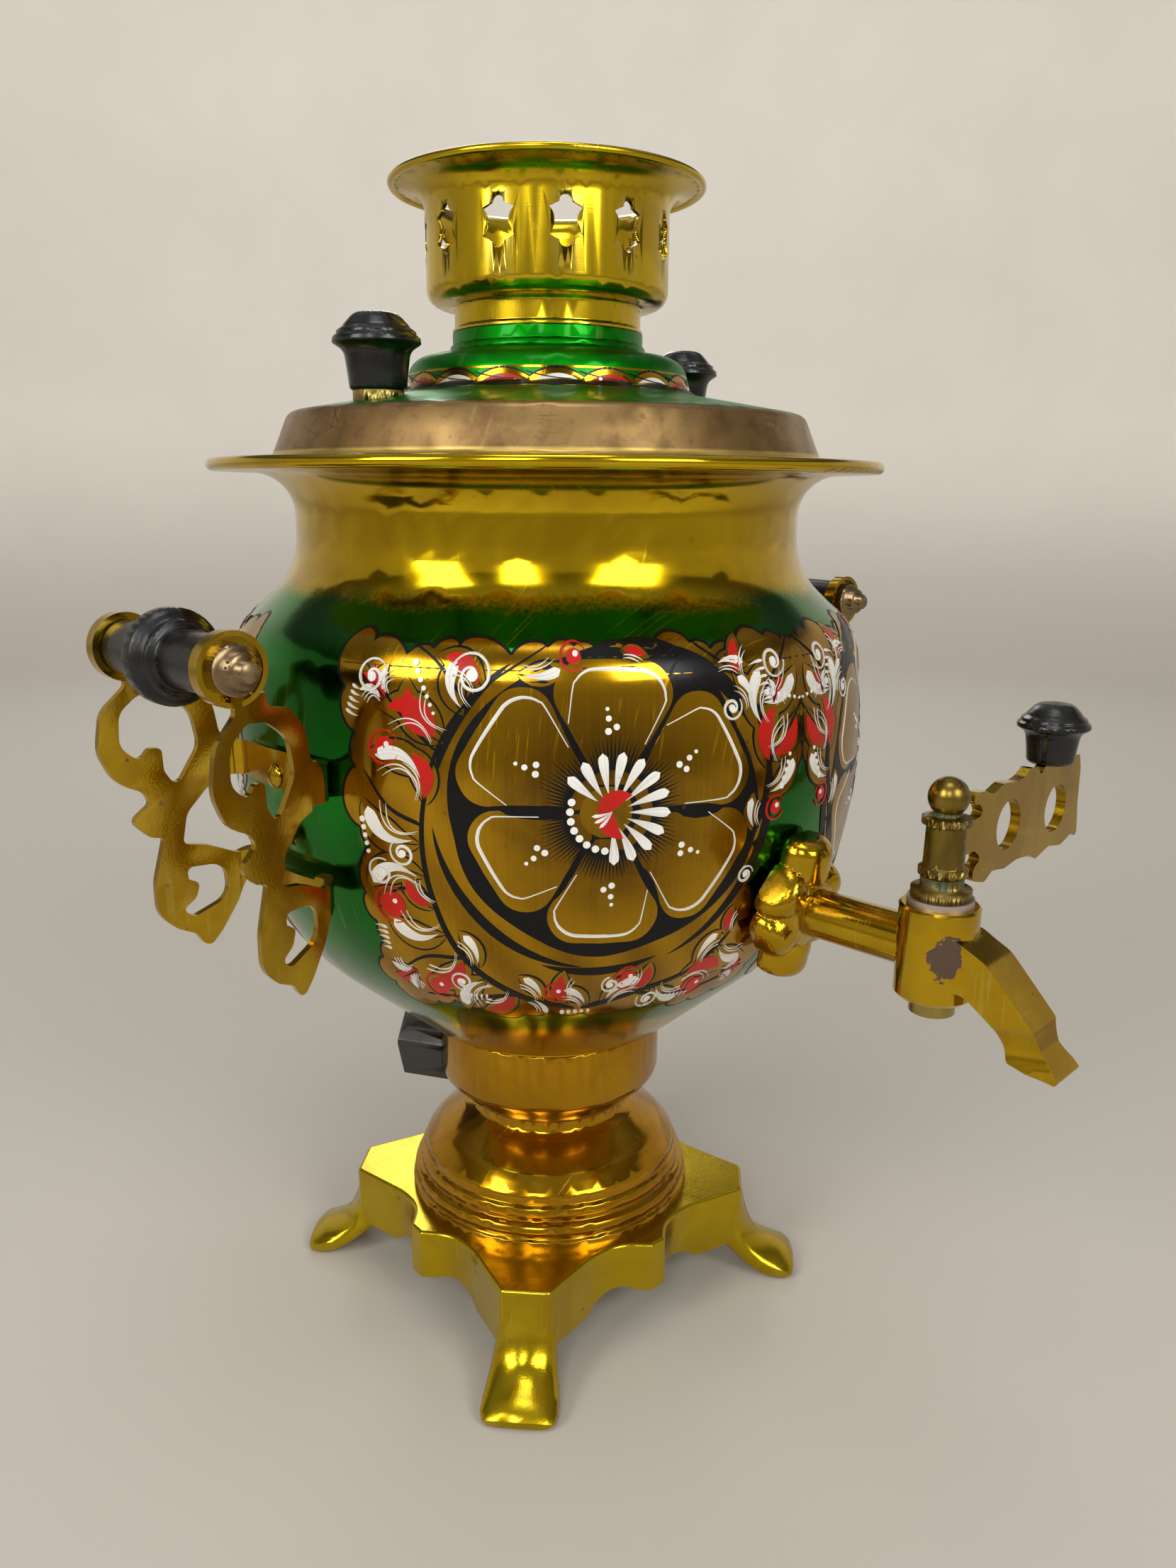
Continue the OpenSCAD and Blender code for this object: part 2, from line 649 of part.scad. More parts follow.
// One petal, turned about its own length: narrow at the centre and full near its tip
module petal(long, r) rotate([0, 90, 0]) rotate_extrude() polygon(open([[0, 0, 0], [r * 0.7, 0.5, 2],
    [r * 1.02, long * 0.45, 8], [r * 0.98, long, r * 0.8], [0, long, 0]]));

// Cast oval rosette behind the pipe: six full petals, cut flat at the back and leaning with the belly
module tap_escutcheon() color(brass) on_tap_axis() difference() {
    translate([0, rosette_lift, rosette_at]) rotate([rosette_lean, 0, 0]) difference() {
        union() {
            turned([[11.6, 0], [11.6, rosette_depth - 3.4], [8.8, rosette_depth]]);
            translate([0, 0, rosette_depth - petal_r]) {
                for (a = [90, 270]) rotate([0, 0, a]) translate([2, 0, 0]) petal(rosette_r - 2, petal_r);
                for (a = [-side_a, side_a, 180 - side_a, 180 + side_a])
                    rotate([0, 0, a]) translate([1, 0, 0]) petal(rosette_side, petal_r);
            }
        }
        translate([0, 0, -30]) cylinder(r = 2 * rosette_r, h = 30);
    }
    cylinder(d = pipe_d + 2 * seat, h = far);
}

// Side view of the spout, as [distance from the barrel's axis, height above the pipe's axis, radius]
spout_side = [[0, 8, 0], [9, 5.6, 4], [16.4, 2, 8], [28.7, -11, 1.2], [30.6, -16, 3], [35.7, -21.4, 0.7],
    [34.8, -22.5, 0.7], [22.7, -21, 1.2], [21.6, -17.4, 4], [19, -12.8, 3], [11, -7.4, 5], [0, -7.4, 0]];
// Half widths of the spout seen from above, as [distance, half width]
spout_plan = [[0, spout_w / 2 + 1], [12, spout_w / 2], [28, spout_w / 2], [30.5, spout_w / 2 - 0.4],
    [33.5, mouth_w / 2 - 0.4], [37, mouth_w / 2]];
neck_half = 4.8;            // half the width of the spout's hollow neck
neck_round = 9;             // radius of the hollows at its sides

module spout() intersection() {
    translate([0, -tap_at, tap_z]) rotate([90, 0, -90]) linear_extrude(mouth_w + 2, center = true)
        polygon(closed(spout_side));
    translate([0, -tap_at, tap_z - 40]) rotate([0, 0, -90]) linear_extrude(80)
        polygon(concat(spout_plan, [for (p = reversed(spout_plan)) [p[0], -p[1]]]));
}

// Hollows at both sides of the neck, between the spout's square shoulder and its mouth
module neck_hollows() for (side = [-1, 1])
    translate([side * (neck_half + neck_round), -tap_at - 19, tap_z - 18.2])
        rotate([78, 0, 0]) cylinder(r = neck_round, h = 24);

module tap_body() color(brass) difference() {
    union() {
        on_tap_axis() translate([0, 0, nut_at - 2]) cylinder(d = pipe_d, h = tap_at - nut_at + 2);
        at_barrel() translate([0, 0, tap_z - barrel_down]) turned([[barrel_d / 2 - 1, 0], [barrel_d / 2, 1],
            [barrel_d / 2, barrel_up + barrel_down - 0.6], [barrel_d / 2 - 0.6, barrel_up + barrel_down]]);
        spout();
    }
    at_barrel() translate([0, 0, tap_z - barrel_down - over]) rotate_extrude()
        polygon([[0, 0], [plug_r(-barrel_down - over) + run, 0], [plug_r(barrel_up + over) + run,
            barrel_up + barrel_down + 2 * over], [0, barrel_up + barrel_down + 2 * over]]);
    neck_hollows();
    on_tap_axis() translate([0, 0, nut_at - 4]) cylinder(d = way_d, h = tap_at - nut_at + 4);
    water_way();
}

// Bores from the barrel through the spout: level, then sloping, then straight down
module water_way() translate([0, -tap_at, tap_z]) {
    rotate([90, 0, 0]) cylinder(d = way_d, h = way_turn);
    translate([0, -way_turn, 0]) {
        sphere(d = bend_d);
        rotate([90 + way_fall, 0, 0]) cylinder(d = way_d, h = way_drop / sin(way_fall));
    }
    translate([0, -mouth_x, -way_drop]) {
        sphere(d = bend_d);
        translate([0, 0, -26]) cylinder(d = way_d, h = 26);
    }
}

function plug_r(z) = plug_d / 2 - plug_slope * (barrel_up - z);

module tap_gasket() color(rubber) on_tap_axis() difference() {
    translate([0, 0, nut_at + shank_nut_t + touch]) cylinder(r = 10.5, h = 20);
    translate([0, 0, nut_at]) cylinder(d = pipe_d + 2 * seat, h = far);
    rotate([-90, 0, 0]) translate([0, 0, -tap_z]) difference() {
        translate([0, 0, tap_z - 20]) cylinder(r = far, h = 40);
        filled(beside(vessel_path, wall + touch));
    }
}

module tap_shank_nut() color(bronze) on_tap_axis() translate([0, 0, nut_at])
    hex_nut(20, shank_nut_t, pipe_d + 2 * seat);

finial_r = 5;
key_drop = barrel_down + 0.1;      // the plug reaches a little below the barrel
stub_h = 4.2;
collar_w = 1;                      // how far the stem's collars stand out
key_flange_r = 7.4;
stub_in = 1.6;                     // step from the plug's small end to the stub under it
lever_back = 2.2;                  // the lever's root reaches this far past the plug's axis
lever_pin_d = 1.6;

// Plug, stem with two collars and ball finial, all turned from one bar, with the slot for the lever
module tap_key() color(bronze) at_barrel() difference() {
    stub_r = plug_r(-key_drop) - stub_in;
    union() {
        translate([0, 0, tap_z]) turned([[stub_r, -key_drop - stub_h], [stub_r, -key_drop],
            [plug_r(-key_drop), -key_drop], [plug_r(barrel_up), barrel_up],
            [plug_r(barrel_up), key_z - tap_z], [key_flange_r, key_z - tap_z],
            [key_flange_r, key_z + key_flange_t - tap_z]]);
        turned([[stem_d / 2 + 0.3, key_z], [stem_d / 2 + 0.3, root_low - 3.4],
            [stem_d / 2 + collar_w, root_low - 2.8], [stem_d / 2 + collar_w, root_low - 1.2],
            [stem_d / 2, root_low - 0.4], [stem_d / 2 - 0.2, root_top + 0.2],
            [stem_d / 2 + collar_w, root_top + 0.8], [stem_d / 2 + collar_w, root_top + 2.4],
            [3.3, root_top + 3.2], [3.3, root_top + 5]]);
        translate([0, 0, root_top + 7.4]) sphere(r = finial_r);
    }
    translate([-far / 2, 0, tap_z]) rotate([0, 90, 0]) cylinder(d = way_d, h = far);
    translate([-lever_back - 0.2, -lever_t / 2 - seat, root_low - seat])
        cube([20, lever_t + 2 * seat, lever_root_h + 2 * seat]);
    translate([0, 0, lever_z]) rotate([90, 0, 0]) lever_pins(lever_pin_d + 2 * seat, 20);
}

module key_washer() color(steel) at_barrel() translate([0, 0, plate_z + touch])
    washer(16.2, washer_t, plug_r(barrel_up) * 2 + 2 * run);

module key_nut() color(steel) at_barrel() translate([0, 0, tap_z - key_drop - stub_h])
    washer(11.4, stub_h - touch, 2 * (plug_r(-key_drop) - stub_in + seat));

// Outline of the lever's plate, as [distance from the plug's axis, height above its middle, radius]
lever_half = lever_w / 2;
lever_top = [
    [-lever_back, root_top - lever_z, 0], [12.5, root_top - lever_z - 0.4, 1], [16.4, 5.6, 3],
    [14.4, 8.6, 3], [10.4, 9.2, 1.6], [11.2, 12.2, 1.6], [17, 11.6, 1.6], [20.6, 10, 2],
    [27, lever_half, 8], [34, lever_half - 1, 4], [38, lever_half - 0.4, 3], [42, lever_half + 1.6, 2],
    [46.6, lever_half + 0.6, 2], [48.4, lever_half - 1.8, 1.5], [50.4, lever_half + 0.4, 0.8]];
lever_end = [
    [lever_len - 2.8, lever_half + 0.4, 0.8], [lever_len - 1.2, lever_half - 4, 3],
    [lever_len - 0.9, -2, 4], [lever_len + 1, -lever_half - 0.8, 1.6]];
lever_low = [
    [72.5, 1 - lever_half, 2], [66, -lever_half - 1, 5], [58, 0.4 - lever_half, 3],
    [50, -lever_half - 1.6, 1.4], [46, 0.4 - lever_half, 3], [38, 1 - lever_half, 6],
    [31, -lever_half, 4], [27, 0.6 - lever_half, 2], [24, 1 - lever_half, 1.6],
    [20, -lever_half - 1.2, 2], [13.4, -11.4, 2], [13, -8, 2], [17.4, -6.2, 3],
    [13, root_low - lever_z + 0.4, 1], [-lever_back, root_low - lever_z, 0]];
hole_1 = 31.3;
hole_2 = 60;

module key_lever() color(brass) at_barrel() translate([0, 0, lever_z]) rotate([90, 0, 0]) difference() {
    linear_extrude(lever_t, center = true) difference() {
        polygon(closed(concat(lever_top, lever_end, lever_low)));
        translate([hole_1, 0]) circle(d = lever_hole_d);
        translate([hole_2, -1]) circle(d = lever_hole_d);
    }
    lever_pins(lever_pin_d + 2 * seat, 20);
    translate([knob_x, lever_half + over, 0]) rotate([90, 0, 0]) cylinder(d = 1.8, h = 2.6, $fn = 16);
}

knob_x = 56.5;             // distance of the lever's knob from the plug's axis
pin_reach = 4.4;           // the pins end flush with the stem

// Two small pins across the lever's root
module lever_pins(d, long) for (up = [-1, 3]) translate([1.6, up, 0])
    cylinder(d = d, h = long, center = true, $fn = 16);

module lever_rivets() color(bronze) at_barrel() translate([0, 0, lever_z]) rotate([90, 0, 0])
    lever_pins(lever_pin_d, 2 * pin_reach);

knob_bore = 2.4;

// Turned knob: tapered body, hollow under the cap and a stepped domed cap
module knob_shape(cap, high) {
    r = cap / 2;
    rotate_extrude() polygon(open([
        [0, 0, 0], [r * 0.58, 0, 0], [r * 0.65, 0.6, 0.8], [r * 0.68, high * 0.2, 1],
        [r * 0.75, high * 0.5, 4], [r * 0.98, high * 0.585, 0.6], [r, high * 0.6, 0.3],
        [r * 0.985, high * 0.66, 0.5], [r * 0.9, high * 0.7, 0.4], [r * 0.89, high * 0.74, 0.4],
        [r * 0.77, high * 0.79, 0.4], [r * 0.72, high * 0.83, 0.4], [r * 0.5, high * 0.97, 4],
        [0, high, 0]]));
}

module lever_knob() color(bakelite) at_barrel()
    translate([knob_x, 0, lever_z + lever_half + 0.4 + touch]) difference() {
        knob_shape(lever_cap_d, lever_knob_h);
        translate([0, 0, -over]) cylinder(d = knob_bore + 2 * seat, h = 9 + over, $fn = 24);
    }

module lever_screw() color(steel) at_barrel() translate([knob_x, 0, lever_z + lever_half - 1.5]) {
    cylinder(d = 1.7, h = 3, $fn = 16);
    translate([0, 0, 2]) cylinder(d = knob_bore, h = 8, $fn = 24);
}

// ---- handles --------------------------------------------------------------------------------------

wing_a = 14;               // splay of each wing from the handle's middle plane, in degrees
wing_y = 27;               // distance of a wing's inner face from that plane, at the grip
bend_r = 5;                // outer radius of the bend from the base sheet to a wing
base_gap = 0.15;           // clearance of the base sheet from the widest belly
base_at = vessel_r(foot_z + belly_h) + base_gap + sheet;   // outer face of the base sheet
rivet_d = 3.6;
rivet_low = 81;            // heights of the two rivets above the vessel's foot
rivet_high = 98;
eye_r = 8.9;
eye_cup = 1.7;             // height of the rim that stands round the nut
eye_y = grip_len / 2;      // inner face of an eye

// Angle at which a wing leaves the base sheet
bend_a = wing_a + asin((wing_y * cos(wing_a) - grip_at * sin(wing_a)) / base_at);
wing_end = [grip_at + 20, wing_y + 20 * tan(wing_a)];

// Plan view of the bent sheet along its outer face: wing, bend, base along the belly, bend, wing
plan_path = concat(
    [concat(wing_end, [0]), concat(polar(base_at, bend_a), [bend_r])],
    [for (a = [8:-2:-8]) concat(polar(base_at, a), [0])],
    [concat(polar(base_at, -bend_a), [bend_r]), [wing_end[0], -wing_end[1], 0]]);

// Side view of a wing, as [distance from the vessel's axis, height above the vessel's foot, radius]
wing_edge = [[126.9, 125.7, 0], [125.1, 122, 2.5], [132.1, 115, 7], [133.7, 104.4, 10], [130.2, 96, 9],
    [123.3, 92.6, 4], [122, 89.4, 1.4], [127.3, 84.8, 2.2], [122.9, 80.2, 2.5], [119.3, 79.4, 1],
    [122.4, 67, 12], [122.4, 57.6, 8], [117.8, 53, 5], [112.9, 50.6, 2], [110, 45.6, 1.8], [106, 50.4, 3],
    [101.2, 58.4, 8], [98.3, 66, 4], [92.7, 66.4, 0], [83.9, 66.4, 0], [83.9, 104.4, 0],
    [97.2, 104.4, 1.5], [103.2, 106.4, 3], [104.5, 115, 7], [109.1, 121, 5], [116, 122, 3],
    [116.4, 125.7, 0]];
upper_scroll = [[116.7, 118.6, 4], [110.1, 113.6, 7], [108.5, 104, 7], [115.1, 93, 2], [118, 98, 3],
    [118.2, 104.6, 1.6], [121.3, 104.4, 1.6], [123.7, 101.2, 2], [128.4, 105.4, 5], [127.9, 114.6, 6],
    [122.7, 119.2, 4]];
side_notch = [[95, 94.6, 0], [99.6, 95, 1.5], [107.2, 92.4, 5], [113.1, 85.6, 6], [114.7, 77, 1.4],
    [108.7, 76, 3], [100.5, 72.4, 2], [95, 74.5, 0]];
lower_scroll = [[106.9, 70.2, 4], [114.2, 70.2, 1.6], [114, 66.6, 0.8], [111.1, 65.4, 1.6],
    [112.3, 61.2, 3], [116, 58.2, 1.2], [113.3, 55.6, 2], [103.4, 60, 8], [103.9, 68, 5]];
// Opening of the bend on each side, as [distance sideways, height above the vessel's foot, radius]
window = [[14.5, 74.5, 3], [34, 74.5, 0], [34, 95, 0], [14.5, 95, 3]];
slot = [[-15, 72.4, 0.8], [15, 72.4, 0.8], [15, 74.6, 0.8], [-15, 74.6, 0.8]];

module side_cut(outline) translate([0, 50, foot_z]) rotate([90, 0, 0]) linear_extrude(100)
    polygon(closed(outline));

// Places children, which stand on +Z, outwards along the centre line of the +X handle
module on_handle(height) translate([0, 0, foot_z + height]) rotate([0, 90, 0]) children();

module rivet_holes() for (height = [rivet_low, rivet_high]) on_handle(height)
    cylinder(d = rivet_d + 2 * seat, h = far, $fn = 24);

module bracket() difference() {
    union() {
        difference() {
            intersection() {
                translate([0, 0, foot_z]) linear_extrude(grip_h) polygon(sheet_of(plan_path, -sheet));
                side_cut(wing_edge);
            }
            side_cut(upper_scroll);
            side_cut(side_notch);
            side_cut(lower_scroll);
            for (flip = [0, 1]) mirror([0, flip, 0]) base_cut(window);
            base_cut(slot);
            rivet_holes();
        }
        for (flip = [0, 1]) mirror([0, flip, 0])
            translate([grip_at, eye_y + sheet, grip_z]) rotate([90, 0, 0]) {
                cylinder(r = eye_r, h = sheet);
                translate([0, 0, -eye_cup]) washer(2 * eye_r, eye_cup, 2 * eye_r - 2.6);
            }
    }
    across_handle() cylinder(d = rod_d + 2 * seat, h = 100, center = true);
}

module base_cut(outline) translate([base_at - 14, 0, foot_z]) rotate([90, 0, 90]) linear_extrude(18)
    polygon(closed(outline));

// Places children that stand on +Z along the axis of the grip
module across_handle() translate([grip_at, 0, grip_z]) rotate([90, 0, 0]) children();

module handle_right() color(brass) bracket();
module handle_left() color(brass) rotate([0, 0, 180]) bracket();

grip_play = 0.1;

// Turned grip with a stepped collar in the middle and a bore for the rod
module grip() across_handle() difference() {
    half = grip_len / 2 - grip_play;
    r = grip_d / 2;
    rc = grip_collar_d / 2;
    rotate_extrude() polygon(closed([
        [0, -half, 0], [r - 0.6, -half, 0.5], [r, -half + 0.8, 0.5], [r + 0.4, -6.2, 0.6],
        [r + 2.4, -5.6, 0.6], [r + 2.6, -4.2, 0.5], [rc - 1, -3.2, 0.8], [rc, -2, 1],
        [rc, 2, 1], [rc - 1, 3.2, 0.8], [r + 2.6, 4.2, 0.5], [r + 2.4, 5.6, 0.6],
        [r + 0.4, 6.2, 0.6], [r, half - 0.8, 0.5], [r - 0.6, half, 0.5], [0, half, 0]]));
    cylinder(d = rod_d + 2 * seat, h = 100, center = true);
}

module grip_right() color(bakelite) grip();
module grip_left() color(bakelite) rotate([0, 0, 180]) grip();

nut_h = [4, 3, 2.6];         // lengths of the nut's three steps, from the eye outwards
nut_d = [12.2, 8.8, 5.2];    // diameters of the three steps
rod_reach = eye_y + sheet + nut_h[0] + 1;

module rod() across_handle() cylinder(d = rod_d, h = 2 * rod_reach, center = true);
module rod_right() color(steel) rod();
module rod_left() color(steel) rotate([0, 0, 180]) rod();

module stepped_nut() difference() {
    step_1 = nut_h[0];
    step_2 = step_1 + nut_h[1];
    step_3 = step_2 + nut_h[2];
    turned([
        [nut_d[0] / 2, 0], [nut_d[0] / 2, step_1 - 0.6], [nut_d[0] / 2 - 0.6, step_1],
        [nut_d[1] / 2, step_1], [nut_d[1] / 2, step_2 - 0.5], [nut_d[1] / 2 - 0.5, step_2],
        [nut_d[2] / 2, step_2], [nut_d[2] / 2, step_3 - 0.5], [nut_d[2] / 2 - 0.5, step_3]]);
    translate([0, 0, -over]) cylinder(d = rod_d + 2 * seat, h = nut_h[0] + 1 + seat + over);
}

module handle_nuts() color(bronze) for (side = [0, 180]) rotate([0, 0, side])
    for (flip = [0, 1]) mirror([0, flip, 0]) across_handle()
        translate([0, 0, eye_y + sheet + touch]) stepped_nut();

rivet_head_r = 3.4;
rivet_head_t = 1.4;
rivet_dome = 0.08;      // clears the curve of the sheet under a flat head

module rivet(height) on_handle(height) {
    low = vessel_r(foot_z + height - rivet_head_r);
    high = vessel_r(foot_z + height + rivet_head_r);
    inner = min(low, high) - wall;
    translate([0, 0, inner - rivet_head_t - rivet_dome])
        cylinder(r = rivet_head_r, h = rivet_head_t, $fn = 32);
    translate([0, 0, inner - 1]) cylinder(d = rivet_d, h = base_at - inner + 1.4, $fn = 24);
    translate([0, 0, base_at + rivet_dome]) turned([[rivet_head_r, 0], [rivet_head_r - 0.5, 0.9],
        [rivet_head_r - 1.8, 1.6]]);
}

module handle_rivets() color(brass) for (side = [0, 180]) rotate([0, 0, side])
    for (height = [rivet_low, rivet_high]) rivet(height);

// ---- lid ------------------------------------------------------------------------------------------

flange_out = band_r + flange_w;
flange_fall = 1.9;                       // fall of the flange from the band to its edge
brim_top = brim_z - bead_d / 2 - brim_rise * (brim_r - flange_out) / (brim_r - neck_r) + wall;
lid_z = brim_top + touch * 3 + wall * 0.98 + flange_fall;  // upper face of the flange at the band's foot
cone_h = 5.6;                              // rise of the shallow cone from the band to the raised centre
band_top_r = band_r - 4.6;
cone_in = bulge_r + 3.2;                 // radius of the cone's inner edge
bulge_foot = lid_z + band_h + cone_h;
lid_neck_z = bulge_foot + bulge_h;
crown_z = lid_neck_z + lid_neck_h;       // where the crown's collar stands
spigot_r = collar_r - wall - 0.25;
spigot_h = collar_h - 1;
lid_path = [
    [flange_out, lid_z - flange_fall, 0],
    [band_r + 0.4, lid_z, 1],
    [band_top_r, lid_z + band_h, 3.2],
    [cone_in, bulge_foot, 1.4],
    [bulge_r, bulge_foot + 1.4, 1.2],
    [bulge_r - 1.6, lid_neck_z - 2.2, 8],
    [lid_neck_r + 1, lid_neck_z, 1],
    [lid_neck_r + 0.6, lid_neck_z + 1.8, 0.5],
    [lid_neck_r, lid_neck_z + 2.1, 0.4],
    [lid_neck_r, crown_z, 0.4],
    [spigot_r, crown_z, 0.3],
    [spigot_r, crown_z + spigot_h, 0]];

module lid() color(green) difference() {
    spun(lid_path, wall);
    knob_places() translate([0, 0, -60]) cylinder(d = lid_screw_d + 2 * seat, h = 120, $fn = 24);
}

locate_r = neck_r - wall - 0.9;
locate_h = 12;

// Ring soldered under the lid, which keeps it central in the vessel's neck
module lid_locating_ring() color(brass) rotate_extrude() polygon([
    [locate_r - wall, brim_z - locate_h], [locate_r, brim_z - locate_h], [locate_r, lid_z - 3.2],
    [band_r - 2.6, lid_z - 3.2], [band_r - 2.6, lid_z - 2.2], [locate_r - wall, lid_z - 2.2]]);

lid_screw_d = 4;
ferrule_h = 1.6;
ferrule_r = 6.8;
cone_slope = atan(cone_h / (band_top_r - cone_in));
knob_seat = bulge_foot - (knob_at - cone_in) * tan(cone_slope) + ferrule_h;
screw_head_r = 3.6;
screw_head_drop = wall / cos(cone_slope) + screw_head_r * tan(cone_slope) + touch;

module knob_places() for (side = [-1, 1]) translate([side * knob_at, 0, knob_seat]) children();

module lid_knob() difference() {
    translate([0, 0, touch]) knob_shape(cap_d, knob_h);
    translate([0, 0, -over]) cylinder(d = lid_screw_d + 2 * seat, h = 10 + over, $fn = 24);
}

module lid_knob_left() color(bakelite) translate([-knob_at, 0, knob_seat]) lid_knob();
module lid_knob_right() color(bakelite) translate([knob_at, 0, knob_seat]) lid_knob();

// Ferrules under the knobs, cut to the slope of the lid
module lid_ferrules() color(brass) difference() {
    knob_places() translate([0, 0, -ferrule_h - 2]) cylinder(r = ferrule_r, h = ferrule_h + 2);
    filled(lid_path, touch);
    knob_places() translate([0, 0, -20]) cylinder(d = lid_screw_d + 2 * seat, h = 40, $fn = 24);
}

module lid_knob_screws() color(steel) knob_places() {
    translate([0, 0, -ferrule_h - screw_head_drop - 1]) cylinder(d = lid_screw_d, h = 13, $fn = 24);
    translate([0, 0, -ferrule_h - screw_head_drop - 2]) cylinder(r = screw_head_r, h = 2, $fn = 32);
}

// ---- crown ----------------------------------------------------------------------------------------

crown_path = lifted([
    [collar_r + 0.6, touch, 0],
    [collar_r + 0.6, 0.7, 0.4],
    [collar_r, 1.4, 0.4],
    [collar_r, collar_h, 1],
    [cup_r, collar_h + 0.6, 7.6],
    [cup_r, collar_h + cup_h - 2.4, 10],
    [rim_r, collar_h + cup_h, 0]], crown_z);
star_z = crown_z + collar_h + 17.6;
crown_turn = -5.5;

// Star opening: a round lobe above and below, four pointed corners and hollow sides
module star() {
    x = star_w / 2;
    y = star_h / 2;
    lobe_r = star_w * 0.2;
    hollow = star_h * 0.34;
    for (flip = [-1, 1]) translate([0, flip * (y - lobe_r)]) circle(r = lobe_r, $fn = 24);
    difference() {
        polygon([[lobe_r * 0.9, y * 0.74], [x, y * 0.54], [x, -y * 0.54], [lobe_r * 0.9, -y * 0.74],
            [-lobe_r * 0.9, -y * 0.74], [-x, -y * 0.54], [-x, y * 0.54], [-lobe_r * 0.9, y * 0.74]]);
        for (flip = [-1, 1]) translate([flip * (x * 0.68 + hollow), 0]) circle(r = hollow, $fn = 32);
    }
}

module crown() color(brass) difference() {
    rotate_extrude() {
        polygon(sheet_of(crown_path, wall));
        translate([rim_r, crown_z + collar_h + cup_h + 0.2]) circle(d = 2.2, $fn = 24);
    }
    for (k = [0:star_count - 1]) rotate([0, 0, 360 * k / star_count + crown_turn])
        translate([cup_r - 8, 0, star_z]) rotate([90, 0, 90]) linear_extrude(16) star();
}

vessel_body();
vessel_floor();
pedestal();
base_casting();
tie_rod();
tie_washer();
tie_nut();
heater_element();
heater_gaskets();
heater_nuts();
inlet_shroud();
pin_carrier();
clamp_bar();
inlet_pins();
pin_nuts();
inlet_leads();
tap_escutcheon();
tap_body();
tap_gasket();
tap_shank_nut();
tap_key();
key_washer();
key_nut();
key_lever();
lever_rivets();
lever_knob();
lever_screw();
handle_left();
handle_right();
grip_left();
grip_right();
rod_left();
rod_right();
handle_nuts();
handle_rivets();
lid();
lid_locating_ring();
lid_knob_left();
lid_knob_right();
lid_ferrules();
lid_knob_screws();
crown();
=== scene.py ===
"""A small electric samovar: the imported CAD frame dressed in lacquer, hand painting and worn metal."""

import json
import logging
import math
import random
from dataclasses import dataclass
from enum import Enum
from typing import Callable

import bpy
import numpy as np
from bpy.types import ID, Material, Mesh, Node, NodeTree, Object
from bpy.types import NodeSocket as Socket
from mathutils import Matrix, Vector
from mathutils.geometry import delaunay_2d_cdt

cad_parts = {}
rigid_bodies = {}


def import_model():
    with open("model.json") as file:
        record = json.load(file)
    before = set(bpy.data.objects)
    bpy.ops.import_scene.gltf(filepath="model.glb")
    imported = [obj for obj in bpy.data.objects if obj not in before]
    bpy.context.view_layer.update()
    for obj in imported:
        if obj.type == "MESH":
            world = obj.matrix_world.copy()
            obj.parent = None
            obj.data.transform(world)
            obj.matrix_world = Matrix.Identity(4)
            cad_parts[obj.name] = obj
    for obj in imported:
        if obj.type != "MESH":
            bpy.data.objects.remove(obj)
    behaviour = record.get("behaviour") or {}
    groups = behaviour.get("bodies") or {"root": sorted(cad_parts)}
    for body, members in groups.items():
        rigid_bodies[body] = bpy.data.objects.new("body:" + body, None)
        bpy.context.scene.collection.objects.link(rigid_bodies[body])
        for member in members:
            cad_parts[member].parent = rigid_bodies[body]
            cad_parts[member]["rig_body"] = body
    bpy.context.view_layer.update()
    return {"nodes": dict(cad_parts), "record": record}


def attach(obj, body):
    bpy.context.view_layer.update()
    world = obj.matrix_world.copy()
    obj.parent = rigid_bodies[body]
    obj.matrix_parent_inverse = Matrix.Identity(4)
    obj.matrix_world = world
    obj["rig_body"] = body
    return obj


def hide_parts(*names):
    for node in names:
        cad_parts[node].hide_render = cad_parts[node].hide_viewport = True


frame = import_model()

log = logging.getLogger("samovar")

MM = 0.001
MERGE = 2e-6                         # corners of the CAD triangles closer than this are one vertex
SMOOTH_ANGLE = math.radians(32)
CREASE_ANGLE = math.radians(38)      # the edges of an eased node that are sharper than this get a bevel
FLAT_ANGLE = math.radians(0.4)       # faces that differ by less than this are one face
FACE_WEIGHT = 60                     # pull of the large faces on an eased node's normals
ROUND_ANGLE = math.radians(6)        # faces turned from the axis's direction by less lie round the axis
COAT_ROUGHNESS = 0.06

Colour = tuple[float, float, float]
Point = tuple[float, float]


# ---- node trees -----------------------------------------------------------------------------------

